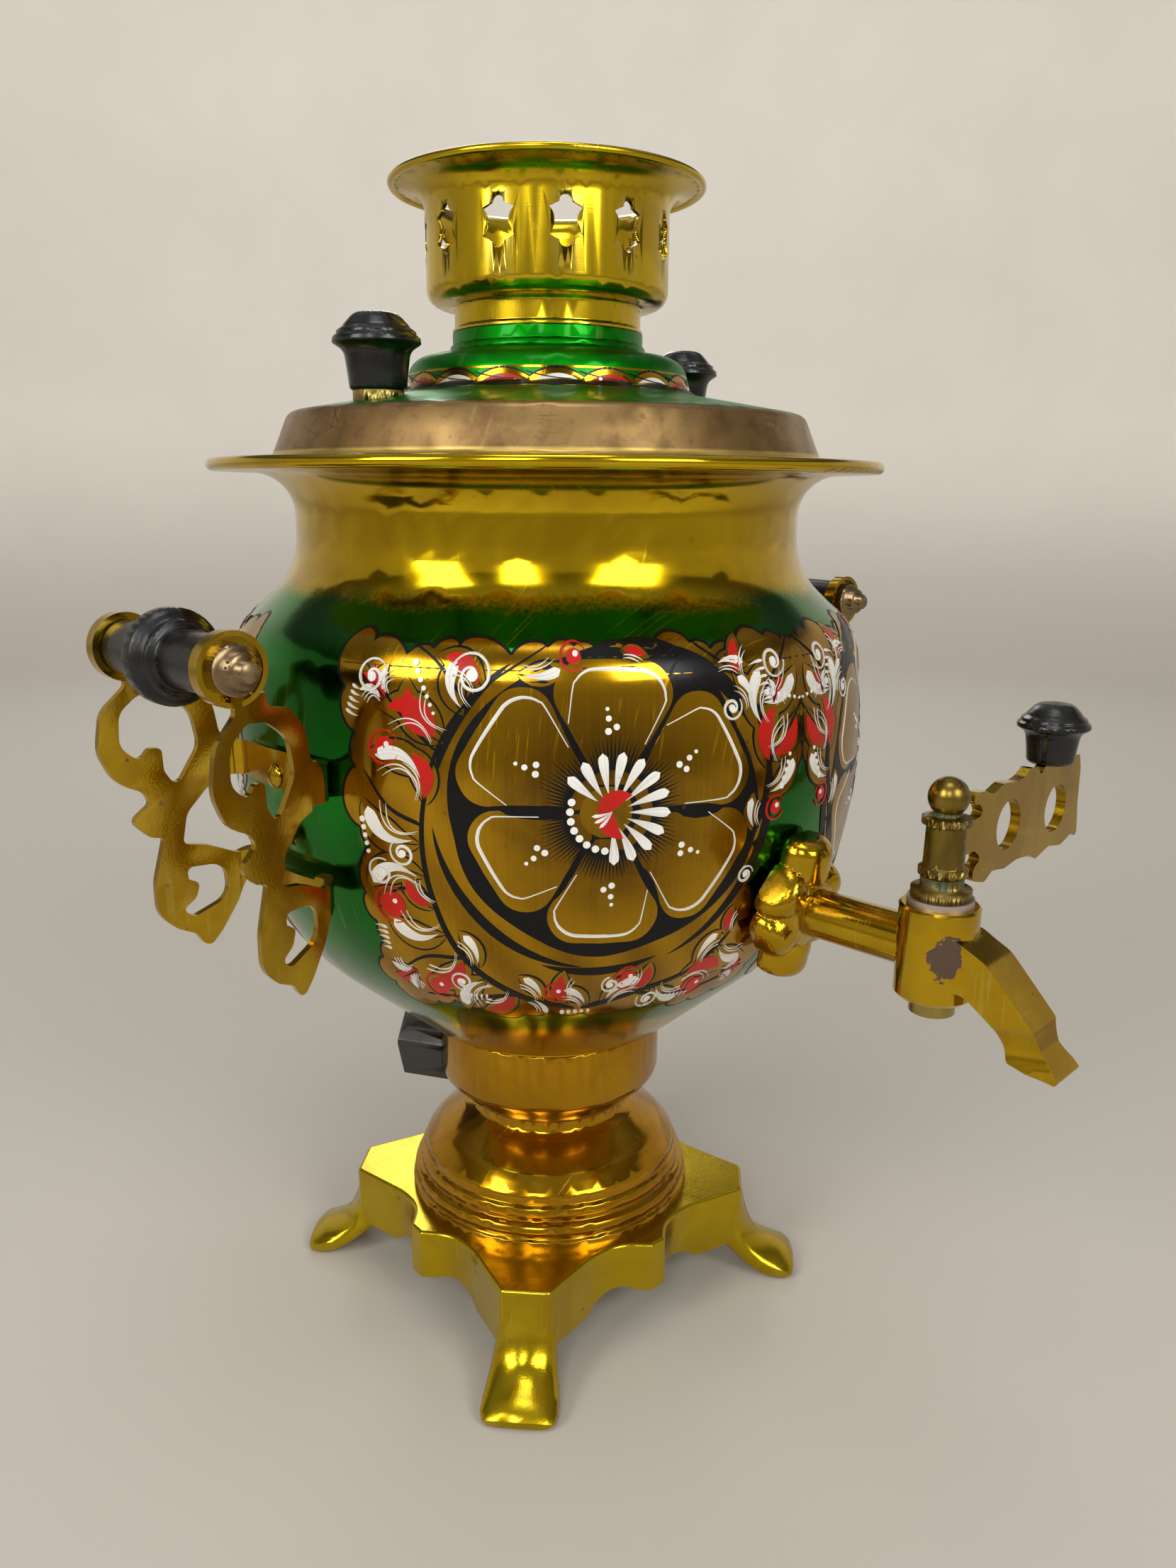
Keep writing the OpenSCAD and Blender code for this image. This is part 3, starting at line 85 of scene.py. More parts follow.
class Graph:
    """A node tree under construction."""

    def __init__(self, tree: NodeTree) -> None:
        """Starts from the given tree."""
        self.tree = tree

    def feed(self, node: Node, inputs: dict) -> None:
        """Links or sets the inputs of a node.

        Args:
            node: the node that is fed.
            inputs: by name or place, another node's output, a number, a vector or a colour.
        """
        for key, value in inputs.items():
            socket = node.inputs[key]
            if isinstance(value, Socket):
                self.tree.links.new(value, socket)
            elif socket.type == "RGBA":
                socket.default_value = (*value[:3], 1.0)
            else:
                socket.default_value = value

    def add(self, kind: str, inputs: dict | None = None, **settings: object) -> Node:
        """Adds a node.

        Args:
            kind: its Blender type, without the leading ShaderNode.
            inputs: values or links for its inputs, by name or place.
            **settings: its other properties.

        Returns:
            The new node.
        """
        node = self.tree.nodes.new("ShaderNode" + kind)
        for key, value in settings.items():
            setattr(node, key, value)
        self.feed(node, inputs or {})
        return node

    def maths(self, operation: str, a: object, b: object = 0.0, clamp: bool = False) -> Socket:
        """Returns the result of a Math node."""
        return self.add("Math", {0: a, 1: b}, operation=operation, use_clamp=clamp).outputs[0]

    def times(self, a: object, b: object, clamp: bool = False) -> Socket:
        """Returns a times b."""
        return self.maths("MULTIPLY", a, b, clamp)

    def plus(self, a: object, b: object, clamp: bool = False) -> Socket:
        """Returns a plus b."""
        return self.maths("ADD", a, b, clamp)

    def minus(self, a: object, b: object) -> Socket:
        """Returns a minus b."""
        return self.maths("SUBTRACT", a, b)

    def remap(self, value: object, low: float, high: float, to_low: float = 0.0,
              to_high: float = 1.0) -> Socket:
        """Returns value moved smoothly from low..high to to_low..to_high."""
        return self.add("MapRange", {0: value, 1: low, 2: high, 3: to_low, 4: to_high},
                        interpolation_type="SMOOTHSTEP").outputs[0]

    def step(self, length: Socket, at: float, soft: float, to_low: float = 0.0,
             to_high: float = 1.0) -> Socket:
        """Returns a soft change from to_low to to_high where a length passes at, in mm."""
        return self.remap(length, (at - soft) * MM, (at + soft) * MM, to_low, to_high)

    def mix(self, factor: object, a: object, b: object) -> Socket:
        """Returns colour a blended towards colour b."""
        return self.add("Mix", {0: factor, 6: a, 7: b}, data_type="RGBA").outputs[2]

    def where(self) -> Socket:
        """Returns the place on the object, in metres."""
        return self.add("TexCoord").outputs["Object"]

    def scaled(self, source: Node) -> Socket:
        """Returns the place times the scale that a group is given."""
        return self.add("VectorMath", {0: self.where(), 3: source.outputs["Scale"]},
                        operation="SCALE").outputs[0]

    def vector(self, operation: str, a: Socket, b: object = (0.0, 0.0, 0.0)) -> Node:
        """Returns a Vector Math node."""
        return self.add("VectorMath", {0: a, 1: b}, operation=operation)

    def axis(self, vector: Socket, letter: str) -> Socket:
        """Returns one coordinate of a vector."""
        return self.add("SeparateXYZ", {0: vector}).outputs[letter]

    def noise(self, vector: Socket, scale: float, detail: float = 3.0, rough: float = 0.55,
              distortion: float = 0.0) -> Socket:
        """Returns a noise value."""
        return self.add("TexNoise", {"Vector": vector, "Scale": scale, "Detail": detail, "Roughness": rough,
                                     "Distortion": distortion}).outputs[0]

    def noise_line(self, value: Socket, scale: float, detail: float) -> Socket:
        """Returns a noise value along one number."""
        return self.add("TexNoise", {"W": value, "Scale": scale, "Detail": detail},
                        noise_dimensions="1D").outputs[0]

    def wander(self, vector: Socket, scale: float, size: float, detail: float = 3.0,
               rough: float = 0.55) -> Socket:
        """Returns a noise value that swings round zero, by half a size at most."""
        return self.times(self.minus(self.noise(vector, scale, detail, rough), 0.5), size)

    def turned(self, vector: Socket, turn: tuple[float, float, float],
               scale: tuple[float, float, float]) -> Socket:
        """Returns the vector turned and stretched."""
        return self.add("Mapping", {"Vector": vector, "Rotation": turn, "Scale": scale}).outputs[0]

    def effect(self, group: NodeTree, **inputs: float) -> Node:
        """Places a shared effect with its own values."""
        values = {key.capitalize(): value for key, value in inputs.items()}
        return self.add("Group", values, node_tree=group)

    def bump(self, height: Socket) -> Socket:
        """Returns the normal of a relief whose height is in mm."""
        return self.add("Bump", {"Height": height, "Distance": MM, "Strength": 1.0}).outputs[0]


def new_group(name: str, inputs: dict[str, float],
              outputs: tuple[str, ...]) -> tuple[Graph, Node, Node]:
    """Starts a shared effect.

    Args:
        name: the group's name.
        inputs: each number that the group takes, with its usual value.
        outputs: the names of the numbers that it gives.

    Returns:
        The graph, its input node and its output node.
    """
    tree = bpy.data.node_groups.new(name, "ShaderNodeTree")
    for label, usual in inputs.items():
        socket = tree.interface.new_socket(label, in_out="INPUT", socket_type="NodeSocketFloat")
        socket.default_value = usual
    for label in outputs:
        tree.interface.new_socket(label, in_out="OUTPUT", socket_type="NodeSocketFloat")
    return Graph(tree), tree.nodes.new("NodeGroupInput"), tree.nodes.new("NodeGroupOutput")


def new_material(name: str) -> tuple[Material, Graph, Node]:
    """Starts a material and returns it with its graph and its shader."""
    material = bpy.data.materials.new(name)
    material.use_nodes = True
    return material, Graph(material.node_tree), material.node_tree.nodes["Principled BSDF"]


class Effects:
    """The shader groups that the finishes share: handling, rubbed edges, crust in the hollows, rings."""

    def __init__(self) -> None:
        """Builds each group once."""
        self.handling = self._handling()
        self.edges = self._worn("rubbed_edges", (240.0, 0.14, 4.0, 0.65), 0.53, 0.62)
        self.crust = self._worn("hollow_crust", (190.0, 0.2, 5.0, 0.7), 0.48, 0.41)
        self.rings = self._rings()

    @staticmethod
    def _handling() -> NodeTree:
        """Returns clouds of uneven lacquer, fine scratches, specks and the sheet's ripple."""
        g, source, out = new_group("handling", {"Scale": 1.0}, ("Cloud", "Scratch", "Speck", "Ripple"))
        place = g.scaled(source)
        first, second, third = (
            g.remap(g.noise(g.turned(place, turn, (34.0, long, 34.0)), 1.0, 1.0), 0.67, 0.73)
            for turn, long in (((0.3, 0.9, 0.2), 950.0), ((1.2, 0.35, 1.9), 1300.0),
                               ((2.1, 1.4, 0.7), 1100.0)))
        lines = g.maths("MAXIMUM", first, g.maths("MAXIMUM", second, third))
        patch = g.remap(g.noise(place, 60.0, 2.0), 0.44, 0.66)
        cells = g.add("TexVoronoi", {"Vector": place, "Scale": 260.0, "Randomness": 1.0})
        chosen = g.remap(g.axis(cells.outputs["Color"], "X"), 0.8, 0.9)
        size = g.times(g.axis(cells.outputs["Color"], "Y"), 0.24)
        spot = g.maths("LESS_THAN", cells.outputs["Distance"], size)
        g.feed(out, {"Cloud": g.noise(place, 38.0, 5.0, 0.6, 0.6), "Scratch": g.times(lines, patch),
                     "Speck": g.times(spot, chosen), "Ripple": g.noise(place, 17.0, 1.0)})
        return g.tree

    @staticmethod
    def _worn(name: str, ragged: tuple[float, float, float, float], low: float,
              high: float) -> NodeTree:
        """Makes a ragged mask that follows the surface's curvature.

        Args:
            name: the group's name.
            ragged: scale, size, detail and roughness of the noise in its edge.
            low: the pointiness where the mask starts.
            high: the pointiness where it is full.

        Returns:
            The group.
        """
        g, source, out = new_group(name, {"Amount": 1.0, "Scale": 1.0}, ("Mask",))
        level = g.plus(g.add("NewGeometry").outputs["Pointiness"], g.wander(g.scaled(source), *ragged))
        g.feed(out, {"Mask": g.times(g.remap(level, low, high), source.outputs["Amount"], clamp=True)})
        return g.tree

    @staticmethod
    def _rings() -> NodeTree:
        """Returns the fine turning rings of a spun sheet, as a height."""
        g, _, out = new_group("turning_rings", {}, ("Height",))
        place = g.where()
        x, y, z = (g.axis(place, letter) for letter in "XYZ")
        radius = g.maths("SQRT", g.plus(g.times(x, x), g.times(y, y)))
        g.feed(out, {"Height": g.noise_line(g.plus(z, g.times(radius, 0.7)), 2600.0, 2.0)})
        return g.tree


# ---- finishes -------------------------------------------------------------------------------------

GREEN = (0.002, 0.2, 0.004)
GOLD_CRUST = (0.06, 0.045, 0.02)
GREEN_CRUST = (0.06, 0.11, 0.07)
SPECK_BROWN = (0.08, 0.05, 0.02)
DUST = (0.06, 0.055, 0.045)


@dataclass(frozen=True)
class Metal:
    """A metal or lacquered metal, with clouds, scratches, rubbed edges and crust."""

    name: str
    colour: Colour
    cloud_colour: Colour
    rub_colour: Colour
    crust_colour: Colour = (0.05, 0.035, 0.015)
    roughness: float = 0.2
    spread: float = 0.14
    coat: float = 0.0
    rub: float = 0.5
    crust: float = 0.4
    speck: float = 0.3
    scratch: float = 0.35
    grain: float = 0.0
    ripple: float = 0.25
    rings: float = 0.0
    metallic: bool = True

    def paint(self, g: Graph, base: Socket, place: Socket) -> Socket:
        """Returns the colour before wear; a finish with painted zones changes it."""
        return base

    def build(self, effects: Effects) -> Material:
        """Makes the material from the shared groups."""
        material, g, shader = new_material(self.name)
        clouds, scratches, specks, ripple = g.effect(effects.handling).outputs
        edge = g.effect(effects.edges, amount=self.rub).outputs["Mask"]
        dirt = g.effect(effects.crust, amount=self.crust).outputs["Mask"]
        place = g.where()
        speck, scratch = g.times(specks, self.speck), g.times(scratches, self.scratch)
        marks = g.plus(scratch, speck)
        base = g.mix(g.remap(clouds, 0.36, 0.68), self.colour, self.cloud_colour)
        colour = self.paint(g, base, place)
        for amount, wear in ((speck, self.crust_colour), (dirt, self.crust_colour), (edge, self.rub_colour),
                             (g.times(scratch, 0.5), self.rub_colour)):
            colour = g.mix(amount, colour, wear)
        rough = g.remap(clouds, 0.3, 0.7, self.roughness - self.spread / 2, self.roughness + self.spread / 2)
        rough = g.plus(g.plus(rough, g.times(marks, 0.3)), g.times(dirt, 0.4), clamp=True)
        grain = g.times(g.noise(place, 1500.0, 3.0, 0.6), self.grain * 0.06)
        height = g.plus(g.times(ripple, self.ripple), grain)
        height = g.minus(height, g.times(marks, 0.012))
        if self.rings:
            ring = g.effect(effects.rings).outputs["Height"]
            height = g.plus(height, g.times(ring, self.rings * 0.004))
        if self.metallic:
            g.feed(shader, {"Metallic": g.minus(1.0, g.times(dirt, 0.75))})
        g.feed(shader, {"Base Color": colour, "Roughness": rough, "Coat Weight": self.coat,
                        "Coat Roughness": COAT_ROUGHNESS, "Normal": g.bump(height)})
        return material


@dataclass(frozen=True)
class VesselLacquer(Metal):
    """Gold lacquer sprayed over with green round the belly."""

    green_deep: Colour = (0.001, 0.11, 0.002)
    top: float = 239.5
    low: float = 117.0
    soft: float = 2.8

    def paint(self, g: Graph, base: Socket, place: Socket) -> Socket:
        """Returns gold above and below, and green between two soft sprayed edges."""
        drift, fine = g.wander(place, 26.0, 9.0 * MM), g.wander(place, 900.0, 5.0 * MM, 2.0)
        level = g.plus(g.axis(place, "Z"), g.plus(drift, fine))
        upper, lower = g.step(level, self.top, self.soft, 1.0, 0.0), g.step(level, self.low, self.soft)
        green = g.mix(g.remap(g.noise(place, 22.0, 4.0), 0.3, 0.7), GREEN, self.green_deep)
        inner = g.remap(self.wall_side(g, place), 0.4, 0.6)
        return g.mix(g.times(g.times(upper, lower), inner), base, green)

    @staticmethod
    def wall_side(g: Graph, place: Socket) -> Socket:
        """Returns 1 where the surface faces away from the axis, and 0 on the inner side."""
        flat = g.add("CombineXYZ", {0: g.axis(place, "X"), 1: g.axis(place, "Y")}).outputs[0]
        normal = g.add("NewGeometry").outputs["Normal"]
        return g.maths("GREATER_THAN", g.vector("DOT_PRODUCT", flat, normal).outputs["Value"], -0.004)


@dataclass(frozen=True)
class LidLacquer(Metal):
    """A lid with a pale rim, a tarnished band and green lacquer above."""

    rim: Colour = (0.62, 0.44, 0.12)
    tarnish: Colour = (0.17, 0.09, 0.04)
    rim_top: float = 276.6
    band_top: float = 287.6

    def paint(self, g: Graph, base: Socket, place: Socket) -> Socket:
        """Returns rim, band and green by height."""
        z = g.axis(place, "Z")
        blotch = g.remap(g.noise(place, 75.0, 6.0, 0.7), 0.42, 0.66)
        spots = g.remap(g.noise(place, 330.0, 3.0, 0.6), 0.6, 0.7)
        cracks = g.add("TexVoronoi", {"Vector": g.turned(place, (0.0, 0.0, 0.0), (60.0, 60.0, 420.0)),
                                      "Scale": 0.8, "Randomness": 1.0}, feature="DISTANCE_TO_EDGE")
        few = g.remap(g.noise(place, 34.0, 2.0), 0.56, 0.62)
        line = g.times(g.maths("LESS_THAN", cracks.outputs["Distance"], 0.008), few)
        band = g.mix(g.times(blotch, 0.65), base, self.tarnish)
        band = g.mix(g.times(spots, 0.35), band, self.tarnish)
        band = g.mix(g.times(line, 0.8), band, self.crust_colour)
        colour = g.mix(g.step(z, self.rim_top, 0.4), self.rim, band)
        return g.mix(g.step(z, self.band_top, 0.15), colour, GREEN)


@dataclass(frozen=True)
class ChippedLacquer(Metal):
    """Lacquer with one flaked patch, where the bare casting shows."""

    chip: tuple[float, float, float] = (-7.4, -146.4, 157.8)
    chip_r: float = 3.6
    stretch: tuple[float, float, float] = (1.0, 1.0, 0.62)
    bare: Colour = (0.15, 0.1, 0.075)

    def paint(self, g: Graph, base: Socket, place: Socket) -> Socket:
        """Returns the lacquer's colour with the ragged patch laid bare."""
        away = g.vector("SUBTRACT", place, tuple(v * MM for v in self.chip)).outputs[0]
        far = g.vector("LENGTH", g.vector("MULTIPLY", away, self.stretch).outputs[0]).outputs["Value"]
        ragged = g.wander(place, 260.0, 7.0 * MM, 4.0, 0.6)
        return g.mix(g.step(g.plus(far, ragged), self.chip_r, 0.12, 1.0, 0.0), base, self.bare)


@dataclass(frozen=True)
class Resin:
    """A hard black moulding: glossy, a little dusty, with fine scratches."""

    name: str
    colour: Colour
    worn: Colour = (0.016, 0.015, 0.014)
    roughness: float = 0.2
    gloss: float = 0.42

    def build(self, effects: Effects) -> Material:
        """Makes the material from the shared groups."""
        material, g, shader = new_material(self.name)
        clouds, scratches, _, _ = g.effect(effects.handling, scale=1.6).outputs
        edge = g.effect(effects.edges, amount=0.55, scale=1.5).outputs["Mask"]
        dirt = g.effect(effects.crust, amount=0.5).outputs["Mask"]
        colour = g.mix(g.times(g.remap(clouds, 0.35, 0.7), 0.5), self.colour, self.worn)
        colour = g.mix(g.times(edge, 0.7), colour, self.worn)
        rough = g.remap(clouds, 0.3, 0.7, self.roughness - 0.06, self.roughness + 0.16)
        marks = g.plus(scratches, g.times(dirt, 0.6))
        fine = g.times(g.noise(g.where(), 900.0, 2.0), 0.02)
        g.feed(shader, {"Base Color": g.mix(g.times(dirt, 0.4), colour, DUST),
                        "Roughness": g.plus(rough, g.times(marks, 0.25), clamp=True),
                        "Specular IOR Level": self.gloss,
                        "Normal": g.bump(g.minus(fine, g.times(scratches, 0.014)))})
        return material


@dataclass(frozen=True)
class BrushPaint:
    """A brushed paint under the clear lacquer: its colour runs along each stroke, with brush streaks."""

    name: str
    head: Colour
    tail: Colour
    metallic: float = 0.0
    roughness: float = 0.3
    streak: float = 0.5
    coat: float = 0.2
    gloss: float = 0.5

    def build(self, effects: Effects) -> Material:
        """Makes the material from the shared groups."""
        material, g, shader = new_material(self.name)
        tone = g.add("Attribute", attribute_name="tone").outputs["Fac"]
        across = g.add("Attribute", attribute_name="across").outputs["Fac"]
        hairs = g.noise_line(across, 2.6, 3.0)
        clouds, scratches, specks, ripple = g.effect(effects.handling, scale=1.3).outputs
        cloud = g.remap(clouds, 0.35, 0.7)
        thin = g.times(g.remap(hairs, 0.42, 0.62), self.streak)
        factor = g.plus(g.times(g.minus(1.0, tone), 0.75), g.times(thin, 0.5))
        factor = g.plus(factor, g.times(g.minus(cloud, 0.5), 0.25), clamp=True)
        colour = g.mix(factor, self.head, self.tail)
        rough = g.remap(clouds, 0.3, 0.7, self.roughness - 0.07, self.roughness + 0.1)
        height = g.plus(g.times(ripple, 0.25), g.times(hairs, 0.004))
        g.feed(shader, {"Base Color": g.mix(g.times(specks, 0.4), colour, SPECK_BROWN),
                        "Roughness": g.plus(rough, g.times(scratches, 0.25), clamp=True),
                        "Metallic": self.metallic, "Specular IOR Level": self.gloss,
                        "Coat Weight": self.coat, "Coat Roughness": COAT_ROUGHNESS,
                        "Normal": g.bump(height)})
        return material


class Finish(Enum):
    """The finishes of the samovar's pieces."""

    VESSEL = VesselLacquer("vessel_gold_green", (0.6, 0.4, 0.004), (0.48, 0.3, 0.003), (0.72, 0.58, 0.12),
                           roughness=0.15, spread=0.08, coat=0.2, rub=0.2, crust=0.15, speck=0.2,
                           scratch=0.25, ripple=0.5, rings=0.6)
    PEDESTAL = Metal("pedestal_gold", (0.48, 0.245, 0.003), (0.38, 0.18, 0.002), (0.7, 0.46, 0.08),
                     GREEN_CRUST, roughness=0.16, spread=0.12, coat=0.2, rub=0.25, crust=0.45, rings=0.8)
    BASE = Metal("base_cast_gold", (0.54, 0.38, 0.006), (0.44, 0.3, 0.004), (0.72, 0.58, 0.16), GOLD_CRUST,
                 coat=0.2, rub=0.2, crust=0.5, speck=0.4, scratch=0.4, grain=0.6, ripple=0.9)
    LID = LidLacquer("lid_lacquer", (0.34, 0.215, 0.082), (0.28, 0.17, 0.064), (0.5, 0.35, 0.15),
                     roughness=0.42, coat=0.15, rub=0.3, crust=0.3, rings=0.6, ripple=0.3)
    CROWN = Metal("crown_gold", (0.6, 0.42, 0.01), (0.48, 0.32, 0.007), (0.68, 0.54, 0.16), GOLD_CRUST,
                  roughness=0.22, coat=0.15, rub=0.35, crust=0.5, rings=1.2, ripple=0.6)
    TAP = ChippedLacquer("tap_gold", (0.52, 0.325, 0.005), (0.4, 0.235, 0.004), (0.74, 0.6, 0.16),
                         GOLD_CRUST, roughness=0.14, spread=0.12, coat=0.2, rub=0.2, crust=0.5,
                         speck=0.35, scratch=0.4, grain=0.35)
    KEY = Metal("key_bronze", (0.26, 0.18, 0.03), (0.13, 0.085, 0.02), (0.5, 0.4, 0.14), GREEN_CRUST,
                roughness=0.3, spread=0.24, rub=0.4, crust=1.0, speck=0.6, scratch=0.5, grain=0.6)
    HANDLE = Metal("handle_brass", (0.46, 0.29, 0.006), (0.33, 0.19, 0.004), (0.72, 0.54, 0.12), GOLD_CRUST,
                   roughness=0.15, coat=0.2, rub=0.15, crust=0.5, speck=0.5, scratch=0.4, grain=0.4)
    NUT = Metal("nut_bronze", (0.24, 0.17, 0.09), (0.15, 0.105, 0.055), (0.45, 0.35, 0.2), GREEN_CRUST,
                roughness=0.36, spread=0.2, crust=0.8, speck=0.5, scratch=0.6, grain=0.4)
    STEEL = Metal("plated_steel", (0.5, 0.49, 0.46), (0.4, 0.38, 0.35), (0.75, 0.74, 0.72),
                  (0.16, 0.09, 0.04), roughness=0.3, spread=0.16, rub=0.4, crust=0.5, scratch=0.5)
    WASHER = Metal("washer_zinc", (0.47, 0.4, 0.35), (0.38, 0.3, 0.25), (0.66, 0.6, 0.55),
                   (0.14, 0.1, 0.08), roughness=0.4, spread=0.2, rub=0.4, crust=0.6, speck=0.4)
    BRASS = Metal("plain_brass", (0.6, 0.42, 0.13), (0.48, 0.32, 0.09), (0.75, 0.6, 0.28), GOLD_CRUST,
                  roughness=0.32, spread=0.18, rub=0.4, crust=0.5, speck=0.4, scratch=0.5)
    SHEATH = Metal("heater_sheath", (0.32, 0.3, 0.27), (0.4, 0.36, 0.3), (0.5, 0.48, 0.44),
                   (0.6, 0.56, 0.48), roughness=0.48, spread=0.2, rub=0.2, crust=0.8, speck=0.5)
    COPPER = Metal("lead_copper", (0.62, 0.27, 0.14), (0.5, 0.2, 0.1), (0.8, 0.45, 0.3), (0.1, 0.08, 0.05),
                   roughness=0.36, spread=0.2)
    BOARD = Metal("carrier_board", (0.22, 0.12, 0.06), (0.16, 0.09, 0.05), (0.3, 0.2, 0.12),
                  roughness=0.5, grain=0.4, metallic=False)
    RUBBER = Metal("gasket_rubber", (0.03, 0.028, 0.026), (0.05, 0.045, 0.04), (0.1, 0.09, 0.08),
                   roughness=0.65, grain=0.6, metallic=False)
    BLACK = Resin("black_resin", (0.004, 0.004, 0.004))
    INLET = Resin("inlet_resin", (0.014, 0.014, 0.015), (0.05, 0.048, 0.046), roughness=0.34)
    GOLD_GROUND = BrushPaint("paint_gold", (0.44, 0.235, 0.004), (0.2, 0.09, 0.002), metallic=1.0,
                             roughness=0.17, streak=0.2)
    PETAL_GOLD = BrushPaint("paint_petal", (0.44, 0.24, 0.004), (0.07, 0.026, 0.001), metallic=1.0,
                            roughness=0.17, streak=0.15)
    PAINT_BLACK = BrushPaint("paint_black", (0.002, 0.002, 0.002), (0.004, 0.003, 0.003), streak=0.3,
                             coat=0.0, gloss=0.22)
    PAINT_WHITE = BrushPaint("paint_white", (0.84, 0.83, 0.78), (0.42, 0.41, 0.36), roughness=0.32,
                             streak=0.7)
    PAINT_RED = BrushPaint("paint_red", (0.5, 0.006, 0.002), (0.3, 0.008, 0.002), coat=0.1, gloss=0.3)


SLOT_FINISH = {
    "vessel_lacquer": Finish.VESSEL, "pedestal_lacquer": Finish.PEDESTAL, "base_lacquer": Finish.BASE,
    "lid_lacquer": Finish.LID, "crown_lacquer": Finish.CROWN, "tap_lacquer": Finish.TAP,
    "key_bronze": Finish.KEY, "lever_brass": Finish.HANDLE, "handle_brass": Finish.HANDLE,
    "nut_bronze": Finish.NUT, "black_resin": Finish.BLACK, "inlet_resin": Finish.INLET,
    "carrier_board": Finish.BOARD, "plated_steel": Finish.STEEL, "pin_plate": Finish.STEEL,
    "copper_lead": Finish.COPPER, "gasket_rubber": Finish.RUBBER, "heater_sheath": Finish.SHEATH,
    "grey_washer": Finish.WASHER, "plain_brass": Finish.BRASS,
}
NODE_FINISH = {"lid_ferrules": Finish.KEY}                   # nodes that look otherwise than their slot
EASED = {"handle_left": 0.32, "handle_right": 0.32, "key_lever": 0.45, "tap_body": 0.4,
         "base_casting": 0.9}                                # width of the bevel on their edges, in mm
TURNED = ("vessel_body", "pedestal", "lid", "crown")         # nodes shaded as true turned surfaces


# ---- pieces ---------------------------------------------------------------------------------------

def linked(name: str, data: ID) -> Object:
    """Makes an object in the scene."""
    made = bpy.data.objects.new(name, data)
    bpy.context.scene.collection.objects.link(made)
    return made


def unit_rows(vectors: np.ndarray) -> np.ndarray:
    """Returns each row at length one."""
    return vectors / np.maximum(np.linalg.norm(vectors, axis=1), 1e-12)[:, None]


def turned_normals(mesh: Mesh, outline: np.ndarray | None = None) -> None:
    """Gives the faces that lie round the axis the normals of the true turned surface.

    Args:
        mesh: a mesh round the vertical axis, in metres.
        outline: the turned outline in mm, if the slope is to be read from it too.
    """
    faces, loops = len(mesh.polygons), len(mesh.loops)
    places, corner = np.empty(len(mesh.vertices) * 3), np.empty(loops * 3)
    facing, middle = np.empty(faces * 3), np.empty(faces * 3)
    vertex, sides = np.empty(loops, int), np.empty(faces, int)
    for source, name, target in (
            (mesh.vertices, "co", places), (mesh.corner_normals, "vector", corner),
            (mesh.polygons, "normal", facing), (mesh.polygons, "center", middle),
            (mesh.loops, "vertex_index", vertex), (mesh.polygons, "loop_total", sides)):
        source.foreach_get(name, target)
    places, corner, facing, middle = (a.reshape(-1, 3) for a in (places, corner, facing, middle))
    owner = np.repeat(np.arange(faces), sides)
    level = np.linalg.norm(facing[:, :2], axis=1)
    out = (facing[:, :2] * unit_rows(middle[:, :2])).sum(axis=1)
    chosen = ((level > 0.04) & (np.abs(out) > level * math.cos(ROUND_ANGLE)))[owner]
    around = unit_rows(places[vertex][:, :2])
    slope = corner[:, 2].copy()
    if outline is not None:
        run = unit_rows(np.gradient(outline, axis=0))
        slope = -np.interp(places[vertex][:, 2] / MM, outline[:, 1], run[:, 0]) * np.sign(out[owner])
    flat = np.sqrt(np.clip(1.0 - slope ** 2, 0.0, 1.0)) * np.sign(out[owner])
    corner[chosen] = np.column_stack([around * flat[:, None], slope])[chosen]
    mesh.normals_split_custom_set(corner.tolist())


class Workshop:
    """Holds the built materials and makes the pieces' objects."""

    def __init__(self) -> None:
        """Builds every finish once."""
        effects = Effects()
        self.materials = {finish: finish.value.build(effects) for finish in Finish}
        self.slots = {part["node"]: part["material_slot"] for part in frame["record"]["subparts"]}

    def object_from(self, name: str, mesh: Mesh, finish: Finish) -> Object:
        """Makes an object with its finish in its material slot."""
        made = linked(name, mesh)
        mesh.materials.clear()
        mesh.materials.append(self.materials[finish])
        return made

    def dressed_copy(self, node: str) -> Object:
        """Makes a merged, smoothly shaded copy of a CAD node in its finish, which stands for the node.

        Args:
            node: the CAD node's name.

        Returns:
            The new object.
        """
        source = frame["nodes"][node]
        slot = self.slots[node]
        finish = NODE_FINISH.get(node, SLOT_FINISH[slot])
        made = self.object_from(node + "_finished", source.data.copy(), finish)
        self.only(made)
        bpy.ops.object.mode_set(mode="EDIT")
        bpy.ops.mesh.select_all(action="SELECT")
        bpy.ops.mesh.remove_doubles(threshold=MERGE)
        if node in EASED:
            bpy.ops.mesh.dissolve_limited(angle_limit=FLAT_ANGLE)
        bpy.ops.object.mode_set(mode="OBJECT")
        if node in EASED:
            edge = made.modifiers.new("eased_edges", "BEVEL")
            edge.width, edge.segments = EASED[node] * MM, 2
            edge.limit_method, edge.angle_limit = "ANGLE", CREASE_ANGLE
            bpy.ops.object.modifier_apply(modifier=edge.name)
        bpy.ops.object.shade_smooth_by_angle(angle=SMOOTH_ANGLE)
        if node in EASED:
            flat = made.modifiers.new("flat_faces", "WEIGHTED_NORMAL")
            flat.weight, flat.keep_sharp = FACE_WEIGHT, True
            bpy.ops.object.modifier_apply(modifier=flat.name)
        elif node in TURNED:
            turned_normals(made.data)
        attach(made, source["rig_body"])
        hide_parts(node)
        return made

    def dressed_body(self, body: str) -> list[Object]:
        """Makes the dressed copies of all the nodes of one body."""
        return [self.dressed_copy(node) for node in frame["record"]["behaviour"]["bodies"][body]]

    @staticmethod
    def only(made: Object) -> None:
        """Selects one object and makes it active."""
        bpy.ops.object.select_all(action="DESELECT")
        made.select_set(True)
        bpy.context.view_layer.objects.active = made


# ---- turned outlines ------------------------------------------------------------------------------

